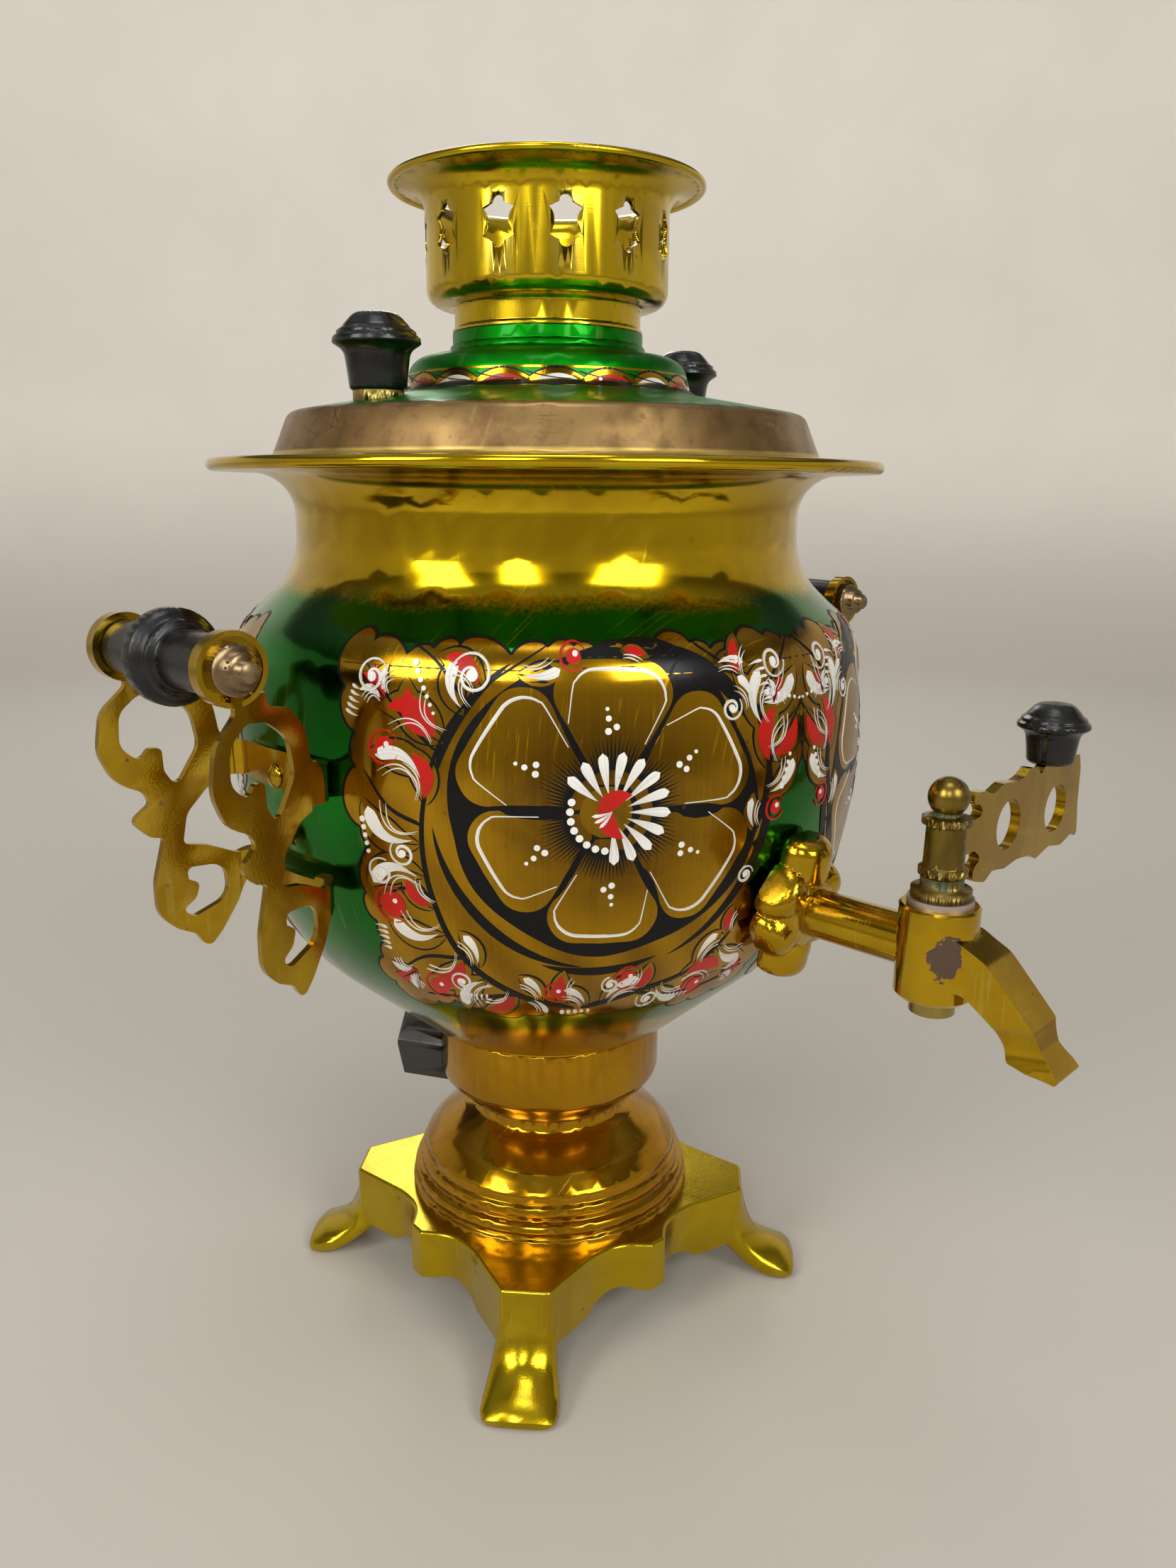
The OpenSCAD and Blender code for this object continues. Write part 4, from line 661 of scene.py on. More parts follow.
def unit(vector: np.ndarray) -> np.ndarray:
    """Returns the vector at length 1."""
    return vector / np.linalg.norm(vector)


def along(line: np.ndarray) -> np.ndarray:
    """Returns how far each point of a line is from its start, measured along it."""
    return np.concatenate([[0], np.cumsum(np.linalg.norm(np.diff(line, axis=0), axis=1))])


def rounded_corner(a: np.ndarray, b: np.ndarray, c: np.ndarray, radius: float,
                   error: float) -> list[np.ndarray]:
    """Rounds the corner b between a and c.

    Args:
        a: the neighbour before.
        b: the corner.
        c: the neighbour after.
        radius: rounding, or 0 for a sharp corner.
        error: largest distance between the arc and its chords.

    Returns:
        The points that take the corner's place.
    """
    u, v = unit(a - b), unit(c - b)
    half = math.acos(max(-1.0, min(1.0, float(u @ v)))) / 2
    if radius <= 0 or half > math.radians(89.4):
        return [b]
    reach = min(radius / math.tan(half), 0.499 * min(np.linalg.norm(a - b), np.linalg.norm(c - b)))
    real = reach * math.tan(half)
    middle = b + unit(u + v) * real / math.sin(half)
    p, q = b + u * reach - middle, b + v * reach - middle
    start = math.atan2(p[1], p[0])
    sweep = (math.atan2(q[1], q[0]) - start + math.pi) % (2 * math.pi) - math.pi
    count = max(2, math.ceil(abs(sweep) / (2 * math.acos(1 - min(0.5, error / real)))))
    angles = (start + sweep * i / count for i in range(count + 1))
    return [middle + real * np.array([math.cos(a), math.sin(a)]) for a in angles]


def rounded_line(corners: list[tuple[float, float, float]], error: float = 0.01,
                 closed: bool = False) -> np.ndarray:
    """Returns the points of a line or closed outline through (x, y, rounding) corners."""
    flat = [np.array(c[:2], float) for c in corners]
    count = len(corners)
    points: list[np.ndarray] = []
    for i, corner in enumerate(corners):
        if not closed and i in (0, count - 1):
            points.append(flat[i])
        else:
            points += rounded_corner(flat[i - 1], flat[i], flat[(i + 1) % count], corner[2], error)
    return np.array(points)


# Outer outlines as corners (radius, height above the part's own foot, rounding), in mm.
FOOT_Z = 95.0
VESSEL_CORNERS = [(37.8, 0, 0), (37.8, 1.9, 0.3), (42.8, 2.7, 5), (89, 43, 62), (98.9, 92.5, 125),
                  (94.5, 132, 17.8), (75.9, 148.6, 22), (75.9, 175.5, 14.5), (98.3, 176.3, 0)]
LID_Z = 275.543
LID_CORNERS = [(95.7, -2.3, 0), (81.6, 0, 1), (76.6, 12, 3.2), (45.6, 17.6, 1.4), (42.4, 19, 1.2),
               (40.8, 27.7, 8), (29.2, 29.9, 1)]
SLOPE_STEP = 0.4             # the slope is read this far to either side, in mm


@dataclass(frozen=True)
class Skin:
    """A turned surface to paint on, measured round from an azimuth and by height or along its outline."""

    outline: np.ndarray
    azimuth: float
    radius: float
    along_outline: bool = False

    def place(self, points: np.ndarray, lift: float) -> np.ndarray:
        """Lays flat points on the surface.

        Args:
            points: rows of (distance round, height or distance along the outline), in mm.
            lift: distance above the surface, in mm.

        Returns:
            Rows of (x, y, z) in metres.
        """
        radii, heights = self.outline.T
        run = along(self.outline)
        s = points[:, 1] if self.along_outline else np.interp(points[:, 1], heights, run)
        before, here, after = ([np.interp(s + step, run, row) for row in (radii, heights)]
                               for step in (-SLOPE_STEP, 0.0, SLOPE_STEP))
        (r, z), (dr, dz) = here, (b - a for a, b in zip(before, after))
        size = np.hypot(dr, dz)
        r, z = r + lift * dz / size, z - lift * dr / size
        angle = math.radians(self.azimuth) + points[:, 0] / self.radius
        return np.stack([r * np.cos(angle), r * np.sin(angle), z], axis=1) * MM


# ---- painting -------------------------------------------------------------------------------------

def smooth_line(points: list[Point], step: float = 0.8, closed: bool = False) -> np.ndarray:
    """Returns a smooth curve through the points, in even short steps."""
    p = np.array(points, float)
    ends = (p[-1], p[0], p[1]) if closed else (2 * p[0] - p[1], 2 * p[-1] - p[-2], None)
    p = np.vstack([ends[0], p, ends[1]] + ([ends[2]] if closed else []))
    out = []
    for i in range(1, len(p) - 2):
        a, b, c, d = p[i - 1], p[i], p[i + 1], p[i + 2]
        count = max(3, int(np.linalg.norm(c - b) / step))
        for k in range(count):
            t = k / count
            out.append(0.5 * (2 * b + (c - a) * t + (2 * a - 5 * b + 4 * c - d) * t * t
                              + (3 * b - a - 3 * c + d) * t ** 3))
    if not closed:
        out.append(p[-2])
    return np.array(out)


def grown(points: np.ndarray, distance: float) -> np.ndarray:
    """Returns a closed outline, counter-clockwise, moved outwards by a distance."""
    run = unit_rows(np.roll(points, -1, axis=0) - np.roll(points, 1, axis=0))
    return points + distance * np.stack([run[:, 1], -run[:, 0]], axis=1)


FILM_DEPTH = 0.34            # each film reaches down into the sheet, so that no gap shows under it
GROUND, SHADE, LEAF, LINE, STROKE, TOP = 0.09, 0.14, 0.19, 0.23, 0.27, 0.32      # lifts of the coats, in mm
DOT_SIDES = 14
COIL_STEPS = 26              # steps in one turn of a coil
STREAK_SHIFT = 7.3           # sets one stroke's brush streaks apart from the next one's
STREAK_RUN = 0.35            # how fast the brush streaks follow one another over a filled shape
PLAIN_TONE = 0.9             # tone of a shape in one colour


class Film:
    """One colour of paint: many flat shapes and strokes, laid on a skin as thin solid films."""

    def __init__(self, name: str, finish: Finish, skin: Skin) -> None:
        """Starts an empty film."""
        self.name, self.finish, self.skin = name, finish, skin
        self.vertices: list[np.ndarray] = []
        self.faces: list[tuple[int, ...]] = []
        self.tones: list[np.ndarray] = []
        self.across: list[np.ndarray] = []
        self.count = 0

    def _keep(self, flat: np.ndarray, faces: list, tone: np.ndarray, across: np.ndarray,
              lift: float) -> None:
        """Adds flat points and faces at a lift above the skin."""
        self.vertices.append(self.skin.place(flat, lift))
        self.faces += [tuple(int(i) + self.count for i in face) for face in faces]
        self.tones.append(tone)
        self.across.append(across)
        self.count += len(flat)

    def shape(self, outline: np.ndarray, lift: float,
              tone: Callable[[np.ndarray], np.ndarray] | None = None, grid: float = 3.2) -> None:
        """Adds a filled shape.

        Args:
            outline: its closed outline.
            lift: distance above the skin, in mm.
            tone: gives each point's tone from 0 to 1.
            grid: spacing of the inner points, which let the film follow the skin.
        """
        low, high = outline.min(0), outline.max(0)
        inner = [(x, y) for x in np.arange(low[0] + grid / 2, high[0], grid)
                 for y in np.arange(low[1] + grid / 2, high[1], grid)]
        points = [Vector(p) for p in (*outline, *inner)]
        flat, _, faces, *_ = delaunay_2d_cdt(points, [], [list(range(len(outline)))], 1, 1e-5)
        flat = np.array([(p.x, p.y) for p in flat])
        used = sorted({i for face in faces for i in face})
        back = {old: new for new, old in enumerate(used)}
        faces = [tuple(back[i] for i in face) for face in faces]
        flat = flat[used]
        tones = tone(flat) if tone else np.full(len(flat), PLAIN_TONE)
        self._keep(flat, faces, tones, flat[:, 0] * STREAK_RUN, lift)

    def stroke(self, line: np.ndarray, width: Callable[[float], float], lift: float, seed: float = 0.0,
               tones: tuple[float, float] = (0.25, 1.0)) -> None:
        """Adds a brush stroke along a line.

        Args:
            line: its middle line, from tail to head.
            width: half width in mm, from 0 at the tail to 1 at the head.
            lift: distance above the skin, in mm.
            seed: sets its streaks apart from its neighbours'.
            tones: tone at the tail and at the head.
        """
        run = unit_rows(np.gradient(line, axis=0))
        side = np.stack([-run[:, 1], run[:, 0]], axis=1)
        last = len(line) - 1
        rows = []
        for i in range(last + 1):
            t = i / last
            half, tone = max(width(t), 0.02), tones[0] + (tones[1] - tones[0]) * t
            rows += [(*(line[i] + side[i] * half * k), tone, half * k + seed * STREAK_SHIFT)
                     for k in (-1.0, 0.0, 1.0)]
        faces = [(a, a + 3, a + 4, a + 1) for i in range(last) for a in (i * 3, i * 3 + 1)]
        rows = np.array(rows)
        self._keep(rows[:, :2], faces, rows[:, 2], rows[:, 3], lift)

    def dot(self, centre: Point, radius: float, lift: float, tone: float = 1.0) -> None:
        """Adds a round dot."""
        ring = [(centre[0] + radius * math.cos(a), centre[1] + radius * math.sin(a))
                for a in np.linspace(0, 2 * math.pi, DOT_SIDES + 1)[:-1]]
        flat = np.array([centre] + ring)
        faces = [(0, i, i % DOT_SIDES + 1) for i in range(1, DOT_SIDES + 1)]
        self._keep(flat, faces, np.full(len(flat), tone), flat[:, 0], lift)

    def build(self, shop: Workshop, body: str, slot: str,
              copies: tuple[float, ...] = (0.0,)) -> Object:
        """Makes the film's object.

        Args:
            shop: the workshop.
            body: the body that the film rides on.
            slot: the record's material slot; not used.
            copies: azimuths, in degrees, by which each copy is turned.

        Returns:
            The new object.
        """
        points = np.vstack(self.vertices)
        vertices, faces = [], []
        for n, turn in enumerate(copies):
            a = math.radians(turn)
            spin = np.array([[math.cos(a), math.sin(a), 0], [-math.sin(a), math.cos(a), 0], [0, 0, 1]])
            vertices.append(points @ spin)
            faces += [tuple(i + n * self.count for i in face) for face in self.faces]
        mesh = bpy.data.meshes.new(self.name)
        mesh.from_pydata(np.vstack(vertices).tolist(), [], faces)
        for label, rows in (("tone", self.tones), ("across", self.across)):
            mesh.attributes.new(label, "FLOAT", "POINT").data.foreach_set(
                "value", np.tile(np.concatenate(rows), len(copies)).astype(np.float32))
        made = shop.object_from(self.name, mesh, self.finish)
        shop.only(made)
        self._face_out(mesh)
        thick = made.modifiers.new("thickness", "SOLIDIFY")
        thick.thickness = FILM_DEPTH * MM
        thick.offset = -1.0
        bpy.ops.object.modifier_apply(modifier=thick.name)
        bpy.ops.object.shade_smooth_by_angle(angle=SMOOTH_ANGLE)
        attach(made, body)
        return made

    @staticmethod
    def _face_out(mesh: Mesh) -> None:
        """Turns each face of an open film away from the axis or upwards."""
        mesh.update()
        for face in mesh.polygons:
            c, n = face.center, face.normal
            if c.x * n.x + c.y * n.y + 0.02 * n.z < 0:
                face.flip()
        mesh.update()


def leaf_width(half: float) -> Callable[[float], float]:
    """Returns the width of a leaf stroke, pointed at both ends."""
    return lambda t: half * math.sin(math.pi * min(1.0, t)) ** 0.8


def rimmed_width(half: float, rim: float) -> Callable[[float], float]:
    """Returns the width of a leaf stroke with a rim on both sides."""
    return lambda t: leaf_width(half)(t) + rim * math.sin(math.pi * t) ** 0.3


def swell_width(thin: float, rise: float, power: float = 1.0) -> Callable[[float], float]:
    """Returns the width of a drawn line that is fullest in the middle."""
    return lambda t: thin + rise * math.sin(math.pi * t) ** power


def drop_width(half: float) -> Callable[[float], float]:
    """Returns the width of a drop stroke, with a fine tail and a full head."""
    return lambda t: half * t ** 0.9 * math.sqrt(max(0.0, 1.0 - t ** 7))


def line_width(tail: float, head: float) -> Callable[[float], float]:
    """Returns the width of a drawn line that swells from tail to head and ends fine."""
    return lambda t: (tail + (head - tail) * t) * math.sqrt(max(0.0, 1.0 - (2 * t - 1) ** 8))


def bent(start: Point, angle: float, length: float, bend: float) -> np.ndarray:
    """Returns a curved middle line.

    Args:
        start: where the tail is.
        angle: direction of the straight line from tail to head, in degrees.
        length: its length.
        bend: how far the middle bows to the left.

    Returns:
        Its points.
    """
    a = math.radians(angle)
    run, left = np.array([math.cos(a), math.sin(a)]), np.array([-math.sin(a), math.cos(a)])
    t = np.linspace(0, 1, max(7, int(length / 0.9)))[:, None]
    return np.array(start) + run * length * t + left * bend * 4 * t * (1 - t)


def coil(centre: Point, radius: float, turns: float, start: float, hand: int) -> np.ndarray:
    """Returns a spiral from its outer end to its heart."""
    count = int(COIL_STEPS * turns)
    points = []
    for i in range(count + 1):
        t = i / count
        r, a = radius * (1 - t) ** 0.8 + 0.25, math.radians(start) + hand * 2 * math.pi * turns * t
        points.append((centre[0] + r * math.cos(a), centre[1] + r * math.sin(a)))
    return np.array(points)


class Painter:
    """Lays the traditional motifs of one panel: ground, stems, leaves, petals, curls and dots."""

    def __init__(self, prefix: str, skin: Skin, seed: int) -> None:
        """Starts the five colours of one panel."""
        self.random = random.Random(seed)
        self.gold = Film(prefix + "_gold", Finish.GOLD_GROUND, skin)
        self.petal = Film(prefix + "_petals", Finish.PETAL_GOLD, skin)
        self.black = Film(prefix + "_black", Finish.PAINT_BLACK, skin)
        self.white = Film(prefix + "_white", Finish.PAINT_WHITE, skin)
        self.red = Film(prefix + "_red", Finish.PAINT_RED, skin)

    def films(self) -> list[Film]:
        """Returns the films that hold anything."""
        return [film for film in (self.gold, self.petal, self.black, self.white, self.red) if film.count]

    def stem(self, points: list[Point], tail: float, head: float) -> None:
        """Adds a black line through points."""
        self.black.stroke(smooth_line(points), line_width(tail, head), LINE)

    def leaf(self, start: Point, angle: float, length: float, half: float, bend: float = 0.0,
             rim: float = 0.6, tone: float = 0.9) -> None:
        """Adds a gold leaf with a black rim and a vein."""
        line = bent(start, angle, length, bend)
        self.black.stroke(line, rimmed_width(half, rim), SHADE + 0.02)
        self.gold.stroke(line, leaf_width(half), LEAF, tones=(tone - 0.45, tone))
        self.black.stroke(line[: int(len(line) * 0.7)], line_width(0.22, 0.06), LINE)

    def petal_stroke(self, film: Film, start: Point, angle: float, length: float, half: float,
                     bend: float = 0.0, leafy: bool = True) -> None:
        """Adds a free petal stroke in a colour."""
        width = leaf_width(half) if leafy else drop_width(half)
        film.stroke(bent(start, angle, length, bend), width, STROKE, seed=self.random.random())

    def tulip(self, start: Point, angle: float, size: float) -> None:
        """Adds a tulip: two gold leaves, a red heart of two petals and white petals beside them."""
        s = size
        for hand in (-1, 1):
            self.leaf(start, angle + hand * 42, 14 * s, 3.4 * s, -hand * 3.0 * s)
            self.petal_stroke(self.red, start, angle + hand * 12, 15 * s, 2.3 * s, -hand * 1.9 * s)
            root = self.off(start, angle + hand * 46, 2.4 * s)
            self.petal_stroke(self.white, root, angle + hand * 40, 10.5 * s, 1.7 * s, -hand * 2.4 * s)
            root = self.off(start, angle + hand * 30, 3 * s)
            self.hairs(root, angle + hand * 62, 9 * s, -hand * 2.6 * s, 3)
        self.black.stroke(bent(start, angle, 13 * s, 0.3), line_width(0.3, 0.1), TOP)

    def sprig(self, film: Film, start: Point, angle: float, size: float, bend: float) -> None:
        """Adds a gold leaf with a full stroke of colour in it and hairlines beside the stroke."""
        hand = 1 if bend > 0 else -1
        self.leaf(start, angle, 15.5 * size, 3.5 * size, bend * size)
        root = self.off(self.off(start, angle, 2.0 * size), angle + 90 * hand, 0.5 * size)
        self.petal_stroke(film, root, angle + 2 * hand, 11.5 * size, 2.1 * size, bend * 0.9 * size,
                          leafy=film is self.red)
        root = self.off(root, angle - 90 * hand, 1.9 * size)
        self.hairs(root, angle - 4 * hand, 10 * size, bend * size, 2)

    def hairs(self, start: Point, angle: float, length: float, bend: float, count: int) -> None:
        """Adds fine white lines side by side, each a little shorter."""
        for k in range(count):
            root = self.off(start, angle + 90, -0.75 * k * (1 if bend > 0 else -1))
            line = bent(root, angle, length * (1 - 0.14 * k), bend)
            self.white.stroke(line, swell_width(0.02, 0.15), TOP, tones=(0.4, 0.7))

    def curl(self, centre: Point, radius: float, start: float, hand: int) -> None:
        """Adds a thin white curl with a dot at its heart."""
        self.white.stroke(coil(centre, radius, 1.6, start, hand), swell_width(0.16, 0.22), TOP)
        self.white.dot(centre, radius * 0.2 + 0.35, TOP + 0.02)

    def berry(self, centre: Point, radius: float) -> None:
        """Adds a red berry with a ring and a white light."""
        self.red.dot(centre, radius, STROKE)
        a = np.linspace(0.4, 5.9, 26)
        ring = np.array(centre) + (radius + 1.4) * np.stack([np.cos(a), np.sin(a)], axis=1)
        self.red.stroke(ring, swell_width(0.06, 0.3), STROKE)
        self.white.dot((centre[0] + radius * 0.25, centre[1] + radius * 0.3), 0.7, TOP)

    def comb(self, start: Point, angle: float, step: float, count: int, length: float) -> None:
        """Adds a row of small white strokes, each a little shorter."""
        for i in range(count):
            root = self.off(start, angle, step * i)
            self.petal_stroke(self.white, root, angle + 74, length * (1 - 0.08 * i), 0.55, 0.3, leafy=False)

    def dots(self, start: Point, angle: float, count: int, size: float = 0.8) -> None:
        """Adds a row of white dots, each a little smaller."""
        for i in range(count):
            self.white.dot(self.off(start, angle, i * size * 2.7), size * (1 - 0.08 * i), TOP)

    def triad(self, centre: Point, angle: float) -> None:
        """Adds three dots and a small fourth one beyond them."""
        for turn, far, size in ((0, 0, 0.85), (-62, 2.3, 0.8), (0, 3.1, 0.75), (4, 5.4, 0.5)):
            self.white.dot(self.off(centre, angle + turn, far), size, TOP)

    @staticmethod
    def off(start: Point, angle: float, distance: float) -> Point:
        """Returns the point at a distance in a direction."""
        a = math.radians(angle)
        return (start[0] + distance * math.cos(a), start[1] + distance * math.sin(a))

    def scalloped(self, corners: list[Point], bump: float, length: float) -> np.ndarray:
        """Returns a closed outline whose sides are rows of rounded lobes."""
        base = smooth_line(corners, 0.8, closed=True)
        steps = np.linalg.norm(np.roll(base, -1, axis=0) - base, axis=1)
        run = np.cumsum(steps) - steps[0]
        total = run[-1] + steps[-1]
        marks = [0.0]
        while marks[-1] < total - length * 0.8:
            marks.append(marks[-1] + length * self.random.uniform(0.5, 1.5))
        marks[-1] = total
        lobes = np.zeros(len(base))
        for a, b in zip(marks, marks[1:]):
            inside = (run >= a) & (run < b)
            rise = np.sin(math.pi * (run[inside] - a) / (b - a)) ** 0.45
            lobes[inside] = bump * min(1.0, (b - a) / length) * rise
        return base + (grown(base, 1.0) - base) * lobes[:, None]


@dataclass
class Flower:
    """The big flower of a panel: its petals, a hairy heart, half a daisy of rays and a row of pearls."""

    centre: Point
    radius: float = 38.0
    heart: float = 11.0
    petals: int = 6
    longer: tuple[float, ...] = (0.0, -1.2, 0.6, -2.6, -1.8, 1.2)
    hairs: int = 104
    rays: int = 12
    pearls: int = 8
    turn: float = 28.0

    def paint(self, p: Painter) -> None:
        """Adds the flower to a panel."""
        halo = [p.off(self.centre, a, self.radius + 0.8 + self._shade(a)) for a in range(0, 360, 10)]
        p.black.shape(smooth_line(halo, 1.2, closed=True), SHADE + 0.03)
        for k in range(self.petals):
            self._petal(p, self.turn + 360 * k / self.petals, self.longer[k])
        p.black.dot(self.centre, self.heart, LINE)
        for i in range(self.hairs):
            a = 360 * i / self.hairs
            wave = 3.4 * abs(math.sin(math.radians(a * 3 + 12)))
            far = self.heart + 3.6 + wave + p.random.uniform(0, 2.2)
            line = np.array([p.off(self.centre, a, r) for r in np.linspace(self.heart - 0.6, far, 6)])
            p.black.stroke(line, lambda t: 0.42 * (1 - t), LINE)
        p.petal.dot(p.off(self.centre, 0, -1.2), self.heart * 0.6, STROKE, tone=0.3)
        for i in range(self.rays):
            a, long = -86 + 20.5 * i, 9.6 + 1.4 * math.sin(math.pi * i / (self.rays - 1))
            p.petal_stroke(p.white, p.off(self.centre, a, 4.4), a, long, 1.75, 0.2, leafy=False)
        for i in range(self.pearls):
            p.white.dot(p.off(self.centre, 164 + 14 * i, self.heart * 0.92), 0.95, TOP)
        for angle, long, bend in ((38, 10.0, 2.2), (-66, 11.0, -2.0)):
            root = p.off(self.centre, angle + 180, 3.4)
            p.red.stroke(bent(root, angle, long, bend), leaf_width(2.2), TOP)
        for angle in (192, 212, 232):
            p.white.stroke(bent(p.off(self.centre, 30, 0.3), angle, 5.2, 0.3), drop_width(0.6), TOP + 0.02)

    @staticmethod
    def _shade(angle: float) -> float:
        """Returns how far the dark halo stands out beyond the petals at an angle."""
        wide = 0.0
        for middle, spread, far in ((-24, 44, 4.4), (-95, 26, 1.6), (158, 34, 2.2), (66, 30, 4.6),
                                    (-150, 24, 1.4)):
            off = (angle - middle + 180) % 360 - 180
            wide = max(wide, far * math.exp(-(off / spread) ** 2 * 1.6))
        return wide

    def _petal(self, p: Painter, angle: float, longer: float) -> None:
        """Adds one petal, its white edge line and its dots."""
        half, r = 180 / self.petals - 0.7, self.radius + longer
        root = self.heart * 0.7
        corners = [
            (root, -half * 0.9, 1.0), (r * 0.9, -half, 7.0), (r * 1.04, -half * 0.6, 7.0), (r, 0.0, 14.0),
            (r * 1.04, half * 0.6, 7.0), (r * 0.9, half, 7.0), (root, half * 0.9, 1.0)]
        centre = np.array(self.centre)

        def laid(rows: list[tuple[float, float, float]]) -> list[tuple[float, float, float]]:
            """Returns corners given by (distance, angle, rounding) as (x, y, rounding)."""
            return [(*p.off((0, 0), angle + turn, far), near) for far, turn, near in rows]

        def tone(points: np.ndarray) -> np.ndarray:
            """Returns brown at the heart and gold at the tip."""
            far = np.linalg.norm(points - centre, axis=1) / r
            return np.clip((far - 0.4) / 0.62, 0.0, 1.0)

        outline = rounded_line(laid(corners), 0.05, closed=True)
        p.petal.shape(outline + centre, LEAF + 0.02, tone, grid=2.6)
        edge = [(r * 0.5, -half * 0.86, 0), (r * 0.86, -half * 0.9, 7), (r * 0.97, -half * 0.56, 7),
                (r * 0.94, 0.0, 14), (r * 0.97, half * 0.56, 7), (r * 0.66, half * 0.94, 0)]
        line = smooth_line([tuple(q) for q in rounded_line(laid(edge), 0.02)[::2]], 1.0)
        p.white.stroke(line + centre, swell_width(0.12, 0.36, 2), STROKE, tones=(0.5, 0.7))
        p.triad(p.off(self.centre, angle + 4, r * 0.54), angle)


def arc(centre: Point, start: tuple[float, float], end: tuple[float, float]) -> np.ndarray:
    """Returns an arc round a centre from one (angle, radius) to another."""
    t = np.linspace(0, 1, max(8, int(abs(end[0] - start[0]) / 3)))
    a, r = np.radians(start[0] + (end[0] - start[0]) * t), start[1] + (end[1] - start[1]) * t
    return np.stack([centre[0] + r * np.cos(a), centre[1] + r * np.sin(a)], axis=1)


# The motifs of a belly panel, placed by (distance round, height) in mm, with angles in degrees.
HEART = (5.0, 190.5)
BORDER = [
    (62, 203), (63.4, 216), (61, 227.5), (50, 229.5), (38, 227), (25, 229.5), (10, 227.5), (-6, 229.5),
    (-20, 227), (-34, 229.5), (-48, 226.5), (-62, 230), (-63, 218), (-59, 205), (-61, 190), (-56.5, 178),
    (-60, 165), (-57, 152), (-61, 140), (-54, 131.5), (-38, 134), (-24, 129.5), (-8, 131.5), (8, 129),
    (24, 131.5), (40, 128.5), (55, 132.5), (58.5, 142), (52, 151), (46.5, 160), (44.5, 172), (47, 184),
    (53, 193)]
CRESCENTS = (                # start and end as (angle, radius) round the heart, and half width
    ((-66, 46), (30, 45.5), 1.5), ((24, 43.5), (72, 42), 2.2), ((124, 43.5), (172, 44), 1.3),
    ((186, 44.5), (262, 44), 1.4), ((-70, 44.5), (-112, 46), 1.3))
MAIN_STEMS = (
    [(-2, 131), (-20, 137), (-34, 149), (-41, 167), (-42, 187), (-37, 207), (-27, 220), (-8, 232)],
    [(0, 131), (16, 136), (32, 141), (43, 151), (46, 160)],
    [(45, 178), (49.5, 192), (49, 206), (42, 220), (28, 231)])
SIDE_STEMS = (
    [(-34, 149), (-46, 148), (-57, 141)], [(-41, 167), (-50, 168), (-58, 161)],
    [(-42, 186), (-51, 190), (-58, 199)], [(-38, 205), (-48, 214), (-59, 226)],
    [(-30, 217), (-38, 226), (-47, 231)], [(49, 198), (57, 206), (65, 215)],
    [(46, 212), (53, 222), (62, 230)], [(16, 136), (30, 133), (44, 134), (56, 138)],
    [(-20, 137), (-34, 135), (-50, 134)])
SPRIGS = (                   # colour, start, angle, size and bend
    ("white", (-38, 156), 166, 1.15, 3.0), ("red", (-40.5, 163), 128, 0.8, 2.0),
    ("white", (-42, 172), 196, 1.2, -3.4), ("white", (-42.5, 181), 146, 1.25, 3.4),
    ("red", (-41, 191), 108, 1.0, -2.4), ("white", (-40, 197), 162, 1.15, -3.0),
    ("red", (-36, 207), 122, 1.2, 2.8), ("red", (-36, 208), 160, 1.25, -2.8),
    ("white", (-31, 214), 96, 0.95, 2.4), ("red", (-26, 220), 148, 0.95, -2.2),
    ("white", (-18, 224), 10, 0.8, -1.4), ("white", (-30, 146), 112, 0.8, -1.8),
    ("red", (-33, 150), 214, 1.2, 2.8), ("white", (-28, 143), 236, 1.1, -2.6),
    ("red", (-20, 138), 214, 0.95, 2.2), ("white", (-16, 136), -58, 0.62, 1.6),
    ("white", (-12, 135), 128, 0.75, -1.6), ("red", (-4, 133), 98, 0.85, 2.0),
    ("white", (2, 132), 142, 0.78, -1.8), ("white", (6, 133), 34, 1.0, 2.0),
    ("red", (15, 136), 70, 0.75, -1.8), ("white", (22, 138), -28, 1.0, -2.2),
    ("red", (30, 140), -4, 1.1, 2.4), ("white", (34, 143), 56, 0.8, 2.0),
    ("white", (40, 148), -22, 1.0, -2.0), ("red", (43, 151), 88, 0.62, 1.6),
    ("white", (46, 181), 96, 0.7, 1.6), ("white", (49, 190), 44, 1.0, -2.2),
    ("red", (50, 197), 76, 1.2, 2.6), ("red", (49.5, 200), 44, 1.1, -2.4),
    ("white", (48, 207), 88, 1.15, 2.6), ("white", (45, 213), 124, 0.75, -1.8),
    ("red", (40, 221), 74, 0.72, 1.8), ("white", (46, 214), 30, 1.15, -2.6),
    ("white", (33, 225), -4, 0.7, 1.4), ("red", (8, 229), -12, 0.5, 1.0))
TULIPS = (                   # start, angle and size
    ((-50, 143), 210, 0.62), ((-52, 217), 128, 0.6), ((52, 214), 62, 0.5), ((48, 137), 10, 0.5))
CURLS = (                    # centre, radius, start angle and hand
    ((-29, 223.5), 5.6, 200, -1), ((-56, 222), 4.4, 20, 1), ((53, 224.5), 4.0, 0, -1),
    ((-48, 178), 3.4, 120, 1), ((38, 214), 3.0, 40, -1), ((22, 132.5), 3.6, 160, 1),
    ((-36, 141), 3.2, 250, -1), ((-55, 172), 3.8, 60, 1), ((8, 140), 2.6, 100, 1), ((45, 169), 2.4, 10, 1))
BERRIES = (                  # centre and radius
    ((-53, 163), 3.8), ((-52, 205), 2.8), ((-44, 138), 3.0), ((13, 142), 2.6), ((38, 135), 2.8),
    ((-8, 138), 2.2), ((53, 186.5), 1.9), ((-4, 228), 1.9))
